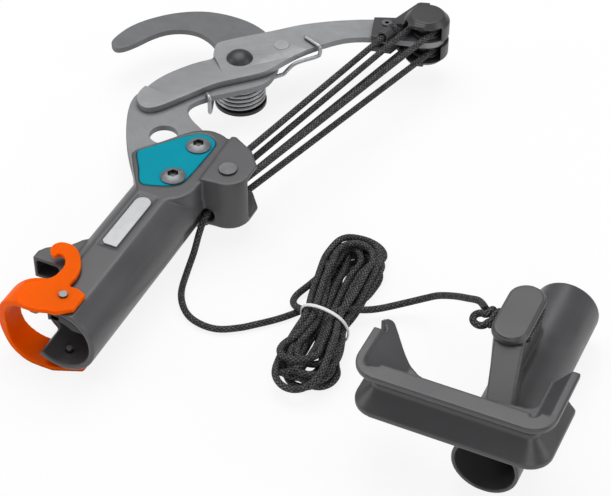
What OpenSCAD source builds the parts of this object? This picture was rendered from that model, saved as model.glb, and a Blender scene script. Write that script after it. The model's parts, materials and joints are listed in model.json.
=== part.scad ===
// Pole lopper head with its cord tackle, free cord and pull grip. Millimetres, +Z up.

/* [Socket and head] */
// outside diameter of the pole tube that the socket takes
pole_d = 26; // [23:0.5:27]
// wall of the socket tube round its jaw
tube_wall = 3.5; // [3:0.1:4.5]
// thickness of the jaw in the socket's mouth
jaw_t = 5; // [4.5:0.1:5.5]
// height of the socket axis above the floor
axis_z = 26; // [25.5:0.5:28]
// thickness of the fixed hook plate
plate_t = 4; // [3:0.5:5]
// thickness of the moving blade and its lever
lever_t = 4; // [3:0.5:5]
// shank diameter of the two clamp screws
screw_d = 8; // [6:0.5:8]
// shank diameter of the pivot bolt
pivot_d = 10; // [8:0.5:11]

/* [Spring] */
// mean diameter of the return spring
coil_d = 30; // [28:0.5:31]
// wire diameter of the return spring
wire_d = 2.6; // [2:0.1:2.8]

/* [Tackle] */
// diameter of the cord
cord_d = 4; // [3.8:0.1:4.4]
// flange diameter of the sheaves
sheave_d = 20; // [19:0.5:21]
// height of a sheave
sheave_h = 9; // [8.6:0.1:9.4]
// diameter of the sheave pins
pin_d = 6; // [4:0.5:6]

/* [Latch] */
// thickness of the latch strap
latch_t = 3; // [2:0.5:3.5]
// diameter of the latch pins
latch_pin_d = 3.5; // [3:0.5:5]

/* [Grip] */
// bore of the sleeve that slides on the pole
sleeve_bore = 32.6; // [30:0.2:33]
// outside diameter of the sleeve
sleeve_d = 37; // [36.5:0.5:39]
// length of the sleeve
sleeve_len = 130; // [120:1:140]
// length of the cord winder over its flanges
winder_len = 108; // [100:1:116]
// height of the cord winder over its flanges
winder_h = 30; // [27:1:33]
// depth of the winding groove
groove_deep = 9; // [7:0.5:10]

/* [Hidden] */

// gap between the fixed plate and the lever that turns on it
slide_gap = 0.3;
// radial play of a turning fit
run_gap = 0.05;
// play of a bolt in its hole
bolt_gap = 0.3;
// room between a strand's end and the turn that it leads to
strand_gap = 0.35;

// socket axis and the two ends of the socket tube
axis_x = -90;
tube_front = -125;
tube_back = 10;
chamber_back = -99;
bore_back = -23;
bore_d = pole_d + 0.4;
jaw_bore = bore_d + 0.6;
chamber_d = jaw_bore + 2 * jaw_t;
tube_d = chamber_d + 2 * tube_wall;
flat_top = axis_z + tube_d / 2 - 2;
head_low = axis_z - 18;

// plate levels
plate_top = axis_z + plate_t;
lever_low = plate_top + slide_gap;
lever_top = lever_low + lever_t;
pivot = [-110, 136];

// sheaves and their levels
cord_r = cord_d / 2;
wrap_r = sheave_d / 2 - 2.5;
sheave_gap = 0.4;
sheave_step = sheave_h + sheave_gap;
cheek_t = 2.8;
stack_h = 3 * sheave_step + sheave_gap;
bracket_low = axis_z + 5 - stack_h / 2 - cheek_t;
bracket_top = bracket_low + stack_h + 2 * cheek_t;
bracket_at = [-59, 19];
block_at = [-13, 212];
mid_z = bracket_low + cheek_t + stack_h / 2;
bracket_z = [mid_z + sheave_step, mid_z, mid_z - sheave_step];
block_gap = 0.8;
block_z = [lever_top + block_gap + sheave_h / 2, lever_low - block_gap - sheave_h / 2];
block_room = sheave_h + 2 * block_gap;

// line of the tackle, from the bracket pin to the block pin
tackle = block_at - bracket_at;
along = tackle / norm(tackle);
right = [along[1], -along[0]];
line_turn = atan2(along[1], along[0]);
anchor_at = block_at - 31 * along - (wrap_r + 6.8) * right;
anchor_z = block_z[0] + 0.4;

// latch
latch_at = [-91, -114];
latch_top = flat_top + 0.3 + latch_t;
loop_r = latch_top / 2;
loop_x = -105;

// grip
sleeve_r = sleeve_d / 2;
sleeve_at = [150, -107];
web_z = sleeve_d + winder_h / 2 - 2;
rim_deep = groove_deep + 3;
winder_right = 184;
winder_left = winder_right - winder_len;
winder_front = -114.5;
arm_end = -67;
left_arm_end = -80;
post_at = [139.3, -35];
post_w = 13;
post_l = 34;
cap_z = web_z + 8;
loop_z = cap_z - cord_r - 1.2;

// the whole object sits with its middle over the origin
left_most = -196;
front_most = -130;
home = [-(left_most + winder_right) / 2, -(front_most + block_at[1] + 14.5) / 2, 0];

function mid_curve(a, b, c, d, t) = 0.5 * (2 * b + (c - a) * t
    + (2 * a - 5 * b + 4 * c - d) * t * t + (3 * b - a - 3 * c + d) * t * t * t);
function smooth(p, k) = let (n = len(p)) [for (i = [0:n - 1], j = [0:k - 1])
    mid_curve(p[(i + n - 1) % n], p[i], p[(i + 1) % n], p[(i + 2) % n], j / k)];
function smooth_open(p, k) = let (n = len(p)) concat([for (i = [0:n - 2], j = [0:k - 1])
    mid_curve(p[max(i - 1, 0)], p[i], p[i + 1], p[min(i + 2, n - 1)], j / k)], [p[n - 1]]);
function up(v, z) = [v[0], v[1], z];
function unit(v) = v / norm(v);
function around(c, r, a) = [c[0] + r * cos(a), c[1] + r * sin(a)];

module place() {
    translate(home) children();
}

function heading(path, i) = unit(path[min(i + 1, len(path) - 1)] - path[max(i - 1, 0)]);
function carried(v, t) = unit(v - (v * t) * t);
function first_side(t) = abs(t[2]) > 0.9 ? carried([1, 0, 0], t) : unit(cross(t, [0, 0, 1]));

// tube of the given radius along a path, its rings carried along without twist
module sweep(path, r, sides) {
    n = len(path);
    across = [for (i = 0, v = first_side(heading(path, 0)); i < n;
        i = i + 1, v = i < n ? carried(v, heading(path, i)) : v) v];
    rings = [for (i = [0:n - 1])
        let (v = across[i], w = cross(v, heading(path, i)))
        for (k = [0:sides - 1])
            path[i] + r * (cos(360 * (k + 0.5) / sides) * v + sin(360 * (k + 0.5) / sides) * w)];
    walls = [for (i = [0:n - 2], k = [0:sides - 1])
        [i * sides + k, i * sides + (k + 1) % sides,
            (i + 1) * sides + (k + 1) % sides, (i + 1) * sides + k]];
    front = [[for (k = [0:sides - 1]) sides - 1 - k]];
    back = [[for (k = [0:sides - 1]) (n - 1) * sides + k]];
    polyhedron(rings, concat(walls, front, back));
}

module rod(a, b, d) {
    v = b - a;
    translate(a) rotate([0, acos(v[2] / norm(v)), atan2(v[1], v[0])])
        cylinder(d = d, h = norm(v), $fn = 24);
}

module pill(l, w) {
    square([w, l - w], center = true);
    translate([0, (l - w) / 2]) circle(d = w, $fn = 48);
    translate([0, (w - l) / 2]) circle(d = w, $fn = 48);
}

// outline of the fixed plate with its upper hook
hook_points = [[-190, 117.5], [-195, 121], [-196, 128], [-193, 142], [-185, 156], [-171, 170],
    [-153, 179], [-131, 180.5], [-112, 175], [-97, 163], [-88, 148], [-85, 133], [-88, 121],
    [-104, 104.5], [-112, 96], [-117, 89], [-118.5, 83], [-116, 77], [-110, 71.5], [-99, 65],
    [-86, 57], [-77, 46], [-76, 30], [-76, 2], [-79, -5], [-90, -6], [-101, -5],
    [-112, 3], [-121, 14], [-128, 23], [-135, 33], [-141, 43], [-147, 54.5],
    [-151.5, 65], [-154, 74], [-153.5, 82], [-147, 92], [-139, 104], [-131, 117], [-126, 128],
    [-127, 138], [-132, 145.5], [-140, 151.5], [-150, 154.8], [-160, 153.5], [-169, 148],
    [-175.5, 139], [-180, 129], [-185, 120.5]];

module hook_shape() {
    polygon(smooth(hook_points, 4));
}

// outline of the moving blade with its lever
lever_points = [[-140, 66], [-134.5, 69], [-129, 77], [-121, 91], [-112, 106], [-101, 117.5],
    [-89.5, 130], [-84, 143], [-78, 157], [-69, 171], [-58, 183.5], [-46, 190.5], [-33, 194.5],
    [-20, 198], [-9, 200.5], [-2, 206], [-0.7, 213], [-4, 220], [-11, 224], [-20, 222.5],
    [-34, 216.5], [-50, 210.5], [-63, 204], [-76, 196], [-90, 185.5], [-103, 172.5],
    [-116, 160], [-126, 150], [-130, 144.5], [-129, 138], [-127, 131], [-131.5, 125.5],
    [-136, 120], [-140.5, 113], [-145, 105], [-148.5, 96], [-150.3, 87], [-151, 79],
    [-149.5, 73], [-145.5, 68]];

module lever_shape() {
    polygon(smooth(lever_points, 4));
}

// outline of the head over the plate
head_points = [[-117.5, 9], [-118.5, 13], [-116.5, 18], [-108, 28.5], [-99, 41], [-93, 47],
    [-86, 50], [-78, 49.3], [-72, 46], [-69.5, 40], [-69, 25], [-69, 8], [-70, -6], [-76, -15],
    [-88, -20], [-98, -17], [-106, -8]];

// outline of the coloured cover
cover_points = [[-115.3, 12], [-114.8, 16.5], [-108, 25], [-100.5, 34.5], [-95, 40.5],
    [-90, 44], [-84, 44.3], [-78.5, 41], [-77, 35], [-77.3, 20], [-78, 6], [-80, -2],
    [-86, -6.5], [-97, -10.5], [-102, -9], [-108, 1]];

screw_rear = [-85.5, 33];
screw_front = [-86, 2];

bracket_r = sheave_d / 2 + 3.6;

module bracket_shape() {
    translate(bracket_at) circle(r = bracket_r, $fn = 64);
    polygon([[-78, 4], [-78, 47], [-68, 48.5], [-54, 40.5], [-45.6, 30], [-45.4, 19], [-59, 5.5]]);
}

// the upper cheek stands proud of the head, right of a straight edge
module fin_shape() {
    intersection() {
        bracket_shape();
        polygon([[-71.6, 60], [-71.2, 40], [-70.2, 6], [-68, 0], [-30, 0], [-30, 60]]);
    }
}

// section of a ground bevel that leaves the top face at r0 and is z0 high at r1
module wedge(r0, r1, z0, z1) {
    slope = (z1 - z0) / (r1 - r0);
    polygon([[r0 - 4, z1 + 4 * slope], [r1, z0], [r1, z1 + 4], [r0 - 4, z1 + 4]]);
}

module screw_holes(d, low, high) {
    for (p = [screw_rear, screw_front]) translate(up(p, low))
        cylinder(d = d, h = high - low, $fn = 32);
}

// tube flattened on top, and cut away below for the back plate and its nuts
module socket_tube() {
    difference() {
        intersection() {
            translate([axis_x, tube_front, axis_z]) rotate([-90, 0, 0])
                cylinder(d = tube_d, h = tube_back - tube_front, $fn = 96);
            translate([axis_x - tube_d, tube_front - 1, 0]) cube([2 * tube_d, 200, flat_top]);
        }
        translate([axis_x - tube_d, -13, -1]) cube([2 * tube_d, 60, head_low + 1]);
    }
}

module catch_box() {
    translate([0, 0, axis_z]) linear_extrude(15)
        polygon([[-100, -56], [-109, -62], [-114, -70], [-120, -73], [-125, -77], [-127.5, -81],
            [-127.5, -87], [-100, -87]]);
}

// the socket is open on its left, down to a lip, for this far from its front
mouth_deep = 21;

module mouth_cut() {
    translate([axis_x, tube_front - 1, axis_z]) rotate([90, 0, 180]) linear_extrude(mouth_deep + 1)
        polygon([[50, 13.5], [5, 13.5], [11, -13.5], [16, -18.5], [50, -18.5]]);
}

// the head's prism, drawn in to the tube on its lower right
head_trim = [[-60, 10.5], [-68.6, 10.5], [-75.3, 5], [-77.3, -3], [-82, -10], [-88, -16.5],
    [-88, -30], [-60, -30]];

module head_block() {
    difference() {
        translate([0, 0, head_low]) linear_extrude(flat_top - head_low) polygon(smooth(head_points, 4));
        translate([0, 0, head_low - 1]) linear_extrude(axis_z - head_low - 1) polygon(head_trim);
    }
}

module housing() {
    color([0.36, 0.36, 0.37]) place() difference() {
        union() {
            socket_tube();
            head_block();
            translate([0, 0, bracket_low]) linear_extrude(flat_top - bracket_low) bracket_shape();
            translate([0, 0, flat_top - 1]) linear_extrude(bracket_top - flat_top + 1) fin_shape();
            catch_box();
        }
        translate([0, 0, axis_z]) linear_extrude(plate_t) hook_shape();
        translate([0, 0, flat_top - 2.8]) linear_extrude(4) polygon(smooth(cover_points, 4));
        translate([0, 0, head_low - 1]) linear_extrude(3) polygon(smooth(cover_points, 4));
        screw_holes(screw_d + 2 * bolt_gap, 0, flat_top + 5);
        translate([axis_x, tube_front - 1, axis_z]) rotate([-90, 0, 0])
            cylinder(d = bore_d, h = bore_back + 1 - tube_front, $fn = 72);
        translate([axis_x, tube_front - 1, axis_z]) rotate([-90, 0, 0])
            cylinder(d = chamber_d, h = chamber_back + 1 - tube_front, $fn = 72);
        mouth_cut();
        translate([-125.3, -88, axis_z + 2.2]) cube([14, 10.5, 10.6]);
        translate(up(latch_at, 0)) cylinder(d = latch_pin_d, h = flat_top + 5, $fn = 32);
        translate([-97.2, -67, flat_top - 0.8]) cube([12.4, 49, 2]);
        translate(up(bracket_at, bracket_low - 1))
            cylinder(d = pin_d, h = bracket_top - bracket_low + 2, $fn = 32);
        translate([0, 0, bracket_low + cheek_t]) linear_extrude(stack_h) union() {
            translate(bracket_at) circle(r = sheave_d / 2 + 0.9, $fn = 64);
            translate([-69.9, 18]) square([40, 40]);
        }
        translate([bracket_at[0] - wrap_r, 20, bracket_z[2]]) rotate([90, 0, 0])
            cylinder(d = cord_d + 5, h = 40, $fn = 32);
    }
}

module cover_plate() {
    color([0.0, 0.58, 0.66]) place() difference() {
        translate([0, 0, flat_top - 2.8]) linear_extrude(3) polygon(smooth(cover_points, 4));
        screw_holes(screw_d + 2 * bolt_gap, flat_top - 5, flat_top + 5);
    }
}

module back_plate() {
    color([0.0, 0.58, 0.66]) place() difference() {
        translate([0, 0, head_low - 1]) linear_extrude(3) polygon(smooth(cover_points, 4));
        screw_holes(screw_d + 2 * bolt_gap, 0, head_low + 5);
    }
}

module badge() {
    color([0.82, 0.83, 0.84]) place() translate([-91, -65, flat_top - 0.8]) linear_extrude(1.1) union() {
        translate([-5, 2]) square([10, 37]);
        translate([0, 39]) circle(r = 5, $fn = 48);
        polygon([[-5, 2], [-3, 0], [5, 0], [5, 2]]);
    }
}

module hook_blade() {
    color([0.55, 0.56, 0.58]) place() difference() {
        translate([0, 0, axis_z]) linear_extrude(plate_t) hook_shape();
        screw_holes(screw_d + 2 * bolt_gap, 0, flat_top);
        translate([-120, 52, 0]) cylinder(d = 17, h = 80, $fn = 64);
        translate(up(pivot, 0)) cylinder(d = pivot_d, h = 80, $fn = 48);
    }
}

module clamp_screw(p) {
    color([0.45, 0.46, 0.48]) place() translate(up(p, 0)) difference() {
        union() {
            translate([0, 0, head_low - 6])
                cylinder(d = screw_d, h = flat_top + 0.2 - head_low + 6, $fn = 32);
            translate([0, 0, flat_top + 0.2]) intersection() {
                cylinder(r = 7.4, h = 3.4, $fn = 48);
                translate([0, 0, -8.4]) sphere(r = 11.8, $fn = 64);
            }
        }
        translate([0, 0, flat_top + 1]) cylinder(d = 7, h = 5, $fn = 6);
    }
}

module clamp_nut(p) {
    color([0.5, 0.51, 0.52]) place() translate(up(p, head_low - 1 - 5)) difference() {
        cylinder(d = 15, h = 5, $fn = 6);
        translate([0, 0, -1]) cylinder(d = screw_d + 0.1, h = 7, $fn = 32);
    }
}

module clamp_screw_front() {
    clamp_screw(screw_front);
}

module clamp_screw_rear() {
    clamp_screw(screw_rear);
}

module clamp_nut_front() {
    clamp_nut(screw_front);
}

module clamp_nut_rear() {
    clamp_nut(screw_rear);
}

module pivot_bolt() {
    color([0.2, 0.2, 0.21]) place() translate(up(pivot, 0)) union() {
        translate([0, 0, 1]) cylinder(d = pivot_d, h = lever_top + 0.2 - 1, $fn = 48);
        translate([0, 0, lever_top + 0.2]) intersection() {
            cylinder(r = 8.4, h = 4.8, $fn = 48);
            translate([0, 0, -5.2]) sphere(r = 10, $fn = 64);
        }
    }
}

// height of the washer that the spring stands on
cup_h = 3;

module pivot_nut() {
    color([0.3, 0.3, 0.31]) place() translate(up(pivot, cup_h)) difference() {
        cylinder(d = 18, h = 5, $fn = 6);
        translate([0, 0, -1]) cylinder(d = pivot_d, h = 9, $fn = 48);
    }
}

module spring_cup() {
    color([0.07, 0.07, 0.08]) place() translate(up(pivot, 0)) difference() {
        cylinder(d = coil_d + wire_d + 1, h = cup_h, $fn = 96);
        translate([0, 0, -1]) cylinder(d = pivot_d, h = 9, $fn = 48);
    }
}

// fixed part of the spring: five curls and a leg hooked on the plate edge
coil_r = coil_d / 2;
wire_r = wire_d / 2;
coil_low = cup_h + wire_r;
coil_step = wire_d + 0.55;
coil_turns = 5;
leg_at = [-110.2, 94.2];
leg_z = coil_low + coil_turns * coil_step;
leg_turn = atan2(leg_at[1] - pivot[1], leg_at[0] - pivot[0]) - acos(coil_r / norm(leg_at - pivot));
coil_path = [for (i = [0:8 * coil_turns])
    up(around(pivot, coil_r, leg_turn + 45 * i), coil_low + coil_step * i / 8)];
leg_path = [up(leg_at, leg_z + 0.2), up(leg_at + [0.2, -0.5], leg_z + 3),
    up(leg_at + [0.2, -0.5], plate_top - 1), up(leg_at + [-0.3, 0.6], plate_top + wire_r + 0.2),
    up(leg_at + [-3.5, 3.5], plate_top + wire_r)];

module return_spring() {
    color([0.62, 0.63, 0.64]) place() sweep(concat(coil_path, leg_path), wire_r, 6);
}

// moving end of the spring: half a curl and the arm hooked over the lever
arm_z = leg_z + wire_d + 0.5;
arm_at = [-68.2, 166.8];
arm_turn = atan2(arm_at[1] - pivot[1], arm_at[0] - pivot[0]) - acos(coil_r / norm(arm_at - pivot));
arm_run = lever_low - wire_r - 0.4;
arm_from = around(pivot, coil_r, arm_turn);
arm_way = unit(arm_at - arm_from);
arm_path = concat([for (i = [0:4]) up(around(pivot, coil_r, arm_turn - 45 * (4 - i)), arm_z)],
    [up(arm_from + 23.5 * arm_way, arm_z), up(arm_from + 32 * arm_way, arm_run),
        up(arm_at - [1.2, 1.4], arm_run), up(arm_at, arm_run + 2),
        up(arm_at + [0.2, 0.2], lever_top - 1), up(arm_at + [-1, 0.6], lever_top + wire_r + 0.2),
        up(arm_at + [-13, 6], lever_top + wire_r)]);

module spring_arm() {
    color([0.62, 0.63, 0.64]) place() sweep(arm_path, wire_r, 6);
}

module bracket_pin() {
    color([0.33, 0.33, 0.34]) place() translate(up(bracket_at, bracket_low - 1)) union() {
        cylinder(d = pin_d, h = bracket_top - bracket_low + 1, $fn = 32);
        cylinder(d = 10, h = 1, $fn = 48);
        translate([0, 0, bracket_top - bracket_low + 1]) cylinder(d = 11, h = 1.4, $fn = 48);
    }
}

module sheave(p, z) {
    color([0.16, 0.16, 0.17]) place() translate(up(p, z)) rotate_extrude($fn = 64) difference() {
        translate([pin_d / 2 + run_gap, -sheave_h / 2])
            square([sheave_d / 2 - pin_d / 2 - run_gap, sheave_h]);
        translate([wrap_r, 0]) circle(r = cord_r + 0.3, $fn = 32);
        translate([wrap_r, -cord_r - 0.3]) square([5, cord_d + 0.6]);
    }
}

module bracket_sheave_top() {
    sheave(bracket_at, bracket_z[0]);
}

module bracket_sheave_mid() {
    sheave(bracket_at, bracket_z[1]);
}

module bracket_sheave_low() {
    sheave(bracket_at, bracket_z[2]);
}

module block_sheave_top() {
    sheave(block_at, block_z[0]);
}

module block_sheave_low() {
    sheave(block_at, block_z[1]);
}

// turns of cord lying in the sheave grooves, from angle a over sweep w
module cord_turn(p, z, a, w) {
    color([0.1, 0.1, 0.11]) place() translate(up(p, z)) rotate([0, 0, a])
        rotate_extrude(angle = w, $fn = 72) translate([wrap_r, 0]) circle(d = cord_d, $fn = 24);
}

module bracket_turn_top() {
    cord_turn(bracket_at, bracket_z[0], line_turn + 90, 180);
}

module bracket_turn_mid() {
    cord_turn(bracket_at, bracket_z[1], line_turn + 90, 180);
}

module block_turn_top() {
    cord_turn(block_at, block_z[0], line_turn - 90, 180);
}

module block_turn_low() {
    cord_turn(block_at, block_z[1], line_turn - 90, 180);
}

module strand(a, b) {
    clear = strand_gap * unit(b - a);
    color([0.1, 0.1, 0.11]) place() rod(a + clear, b - clear, cord_d);
}

near_left = bracket_at - wrap_r * right;
near_right = bracket_at + wrap_r * right;
far_left = block_at - wrap_r * right;
far_right = block_at + wrap_r * right;

module strand_1() {
    strand(up(near_left, bracket_z[0]), up(anchor_at, anchor_z));
}

module strand_2() {
    strand(up(near_right, bracket_z[0]), up(far_right, block_z[0]));
}

module strand_3() {
    strand(up(near_left, bracket_z[1]), up(far_left, block_z[0]));
}

module strand_4() {
    strand(up(near_right, bracket_z[1]), up(far_right, block_z[1]));
}

module strand_5() {
    strand(up(near_left, bracket_z[2]), up(far_left, block_z[1]));
}

// rivet in the lever and the small one that holds the block covers
rivet_at = [-92, 160];
rivet_d = 10;
tongue_at = [-38, 205];
tongue_rivet_d = 4;
tongue_t = 4;
knot_d = 8;

module lever_blade() {
    color([0.6, 0.61, 0.63]) place() difference() {
        translate([0, 0, lever_low]) linear_extrude(lever_t) lever_shape();
        translate(up(pivot, 0)) cylinder(d = pivot_d + 4, h = 80, $fn = 48);
        translate([-72.7, 74.5, 0]) rotate([0, 0, 133]) rotate_extrude(angle = 39, $fn = 180)
            wedge(59.5, 80, lever_low + 1.7, lever_top);
        translate(up(rivet_at, 0)) cylinder(d = rivet_d, h = 80, $fn = 48);
        translate(up(block_at, 0)) cylinder(d = pin_d, h = 80, $fn = 32);
        translate(up(tongue_at, 0)) cylinder(d = tongue_rivet_d, h = 80, $fn = 32);
    }
}

module pivot_bush() {
    color([0.5, 0.5, 0.5]) place() translate(up(pivot, plate_top + 0.05)) difference() {
        cylinder(d = pivot_d + 4, h = lever_top - plate_top - 0.05, $fn = 48);
        translate([0, 0, -1]) cylinder(d = pivot_d + 2 * run_gap, h = 20, $fn = 48);
    }
}

module stop_rivet() {
    color([0.66, 0.67, 0.68]) place() translate(up(rivet_at, lever_low))
        cylinder(d = rivet_d, h = lever_t + 0.4, $fn = 48);
}

// plan of the flat tongue of a block cover, along the lever
module tongue_shape() {
    polygon([[-48.5, 208.5], [-42, 188], [-24, 191], [-14, 200], [-18, 221]]);
}

// room for the strands, from their line at rest to their line when the blade is shut
module cover_way(l) {
    a = line_turn + 180;
    b = a + 29;
    w = wrap_r + cord_r + 0.85;
    translate(block_at) polygon([around([0, 0], w, a - 90), around(around([0, 0], w, a - 90), l, a),
        around([0, 0], 1.3 * l, (a + b) / 2), around(around([0, 0], w, b + 90), l, b),
        around([0, 0], w, b + 90)]);
}

cover_r = 14.5;
cover_h = block_room + 4;
pin_deep = block_room + 2;

// sloping tail of the hood, from the round cap down to the tongue
module cover_tail() {
    turn = atan2(tongue_at[1] - block_at[1], tongue_at[0] - block_at[0]);
    translate(up(block_at, 0)) rotate([0, 0, turn]) difference() {
        linear_extrude(cover_h - 1) polygon([[0, -cover_r + 0.4], [6, 0.6 - cover_r], [22, -6], [22, 6],
            [6, cover_r - 0.6], [0, cover_r - 0.4]]);
        translate([7.5, -30, cover_h - 1]) rotate([0, 33, 0]) cube([40, 60, 30]);
    }
}

module block_cover() {
    difference() {
        union() {
            linear_extrude(tongue_t) tongue_shape();
            translate(up(block_at, 0)) rotate_extrude($fn = 96) polygon([[0, 0], [cover_r, 0],
                [cover_r, cover_h - 4.5], [cover_r - 4, cover_h], [0, cover_h]]);
            cover_tail();
        }
        translate(up(block_at, -1)) cylinder(r = sheave_d / 2 + 0.9, h = block_room + 1, $fn = 64);
        translate([0, 0, -1]) linear_extrude(block_room + 1) cover_way(60);
        translate(up(block_at, -1)) cylinder(d = pin_d, h = pin_deep + 1, $fn = 32);
        translate(up(tongue_at, tongue_t)) cylinder(d = tongue_rivet_d + 5, h = 40, $fn = 32);
    }
}

module block_cover_top() {
    color([0.17, 0.17, 0.18]) place() difference() {
        union() {
            translate([0, 0, lever_top]) block_cover();
            translate(up(anchor_at, lever_top)) rotate([0, 0, line_turn])
                translate([3.4, -2.9, 0]) cube([5.8, 7, anchor_z - lever_top]);
            rod(up(anchor_at + 2 * along, anchor_z), up(anchor_at + 10 * along, anchor_z), cord_d + 4.2);
        }
        rod(up(anchor_at - 10 * along, anchor_z), up(anchor_at + 20 * along, anchor_z), cord_d + 1.4);
        rod(up(anchor_at + 10.05 * along, anchor_z), up(anchor_at + 19 * along, anchor_z), knot_d + 1);
        translate(up(tongue_at, 0)) cylinder(d = tongue_rivet_d, h = 80, $fn = 32);
    }
}

module block_cover_low() {
    color([0.17, 0.17, 0.18]) place() difference() {
        translate([0, 0, lever_low]) mirror([0, 0, 1]) block_cover();
        translate(up(tongue_at, 0)) cylinder(d = tongue_rivet_d, h = 80, $fn = 32);
    }
}

module block_pin() {
    low = lever_low - pin_deep;
    high = lever_top + pin_deep;
    color([0.4, 0.4, 0.41]) place() translate(up(block_at, low))
        cylinder(d = pin_d, h = high - low, $fn = 32);
}

module cover_rivet() {
    color([0.5, 0.5, 0.51]) place() translate(up(tongue_at, lever_low - tongue_t)) difference() {
        union() {
            cylinder(d = tongue_rivet_d, h = lever_t + 2 * tongue_t, $fn = 32);
            translate([0, 0, lever_t + 2 * tongue_t]) cylinder(d = tongue_rivet_d + 3, h = 1, $fn = 32);
            translate([0, 0, -1]) cylinder(d = tongue_rivet_d + 3, h = 1, $fn = 32);
        }
        translate([0, 0, lever_t + 2 * tongue_t - 3]) cylinder(d = tongue_rivet_d - 1.6, h = 6, $fn = 24);
    }
}

module anchor_knot() {
    color([0.1, 0.1, 0.11]) place() union() {
        translate(up(anchor_at + 12.85 * along, anchor_z)) sphere(d = knot_d, $fn = 32);
        rod(up(anchor_at, anchor_z), up(anchor_at + 12 * along, anchor_z), cord_d);
    }
}

// top plate of the latch with its catch hook
latch_points = [[-100, -129.8], [-90, -126.5], [-83, -122], [-80, -117.5], [-81, -112], [-86, -108],
    [-92, -105.5], [-92, -98], [-94, -90], [-100, -81], [-107, -76.5], [-114, -77], [-117, -81.5],
    [-115.5, -86.5], [-111.5, -89], [-110.5, -86], [-106, -87], [-103, -92], [-102.5, -98],
    [-104, -104], [-109, -109], [-113.5, -114], [-115, -121], [-113, -127], [-107, -129.8]];

// the finger loop seen along the socket: thick at the left, as thin as the strap above and below
loop_back = [[-79, -109], [-86, -106], [-106, -106], [-118, -108], [-126, -110], [-132, -112]];
loop_t = 6.6;

module loop_section() {
    inner_r = loop_r - loop_t;
    inner_h = loop_r - latch_t;
    translate([loop_x, front_most, loop_r]) rotate([-90, 0, 0]) linear_extrude(40) difference() {
        union() {
            circle(r = loop_r, $fn = 96);
            translate([0, -loop_r]) square([28, 2 * loop_r]);
        }
        for (s = [-1, 1]) translate([0, s * (inner_h - inner_r)]) circle(r = inner_r, $fn = 72);
        translate([-inner_r, inner_r - inner_h]) square([60, 2 * (inner_h - inner_r)]);
        translate([0, -inner_h]) square([60, 2 * inner_h]);
    }
}

module latch() {
    color([0.93, 0.33, 0.04]) place() difference() {
        union() {
            translate([0, 0, latch_top - latch_t]) linear_extrude(latch_t)
                polygon(smooth(latch_points, 4));
            intersection() {
                loop_section();
                union() {
                    translate([0, 0, loop_r]) linear_extrude(80) polygon(concat(loop_back,
                        [[-132, -122], [-120, -126.5], [-107, front_most], [-88, -127], [-78, -119]]));
                    linear_extrude(loop_r) polygon(concat(loop_back,
                        [[-132, -122], [-122, -125], [-112, -126], [-96, -126], [-80, -119.5]]));
                }
            }
        }
        translate(up(latch_at, -1)) cylinder(d = latch_pin_d + 2 * run_gap, h = 90, $fn = 32);
        translate([axis_x + 9.5, tube_front - 5, latch_t + 5]) cube([20, 30, 90]);
    }
}

module latch_pin_top() {
    base = axis_z + chamber_d / 2 - 2.5;
    color([0.42, 0.42, 0.43]) place() translate(up(latch_at, base)) union() {
        cylinder(d = latch_pin_d, h = latch_top + 0.1 - base, $fn = 32);
        translate([0, 0, latch_top + 0.1 - base]) cylinder(d = latch_pin_d + 1.6, h = 1.2, $fn = 48);
    }
}

module latch_pin_low() {
    top = axis_z - chamber_d / 2 + 2.5;
    low = 0.4;
    color([0.42, 0.42, 0.43]) place() translate(up(latch_at, low))
        cylinder(d = latch_pin_d, h = top - low, $fn = 32);
}

jaw_len = 18;

module lock_jaw() {
    color([0.06, 0.06, 0.07]) place() difference() {
        translate([axis_x, tube_front + 0.4, axis_z]) rotate([-90, 0, 0]) difference() {
            cylinder(d = chamber_d, h = jaw_len, $fn = 72);
            translate([0, 0, -1]) cylinder(d = jaw_bore, h = jaw_len + 2, $fn = 72);
        }
        translate([axis_x - tube_d, tube_front - 1, 0]) cube([2 * tube_d, jaw_len + 3, axis_z + 10]);
        translate([axis_x - tube_d, tube_front - 1, 0]) cube([tube_d - 5.5, jaw_len + 3, 2 * tube_d]);
        translate([axis_x - 3.4, tube_front, axis_z + jaw_bore / 2 + 0.6]) cube([5, 6, 2.6]);
        translate(up(latch_at, 0)) cylinder(d = latch_pin_d + 0.6, h = 90, $fn = 32);
    }
}

// free cord from the bracket to the hank
exit_x = bracket_at[0] - wrap_r;
lead_start = bracket_at - wrap_r * right;
lead_route = [up(lead_start - 0.3 * along, bracket_z[2]), [exit_x, 15, bracket_z[2]],
    [exit_x, 3, bracket_z[2]], [-65.8, -6, 17.5], [-65.2, -15, 9], [-64, -27, 3], [-60, -41, 2.6],
    [-54, -51, 2.6], [-46, -58, 2.6], [-36, -61, 2.6], [-26, -60, 2.6], [-16, -54, 2.6],
    [-9.2, -47.7, 2.6], [-3.4, -40.8, 2.6], [0.6, -33, 2.6], [2.6, -26, 2.7], [6, -21.8, 2.9],
    [10, -22.8, 3.2], [12.2, -27.5, 3.5]];

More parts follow.
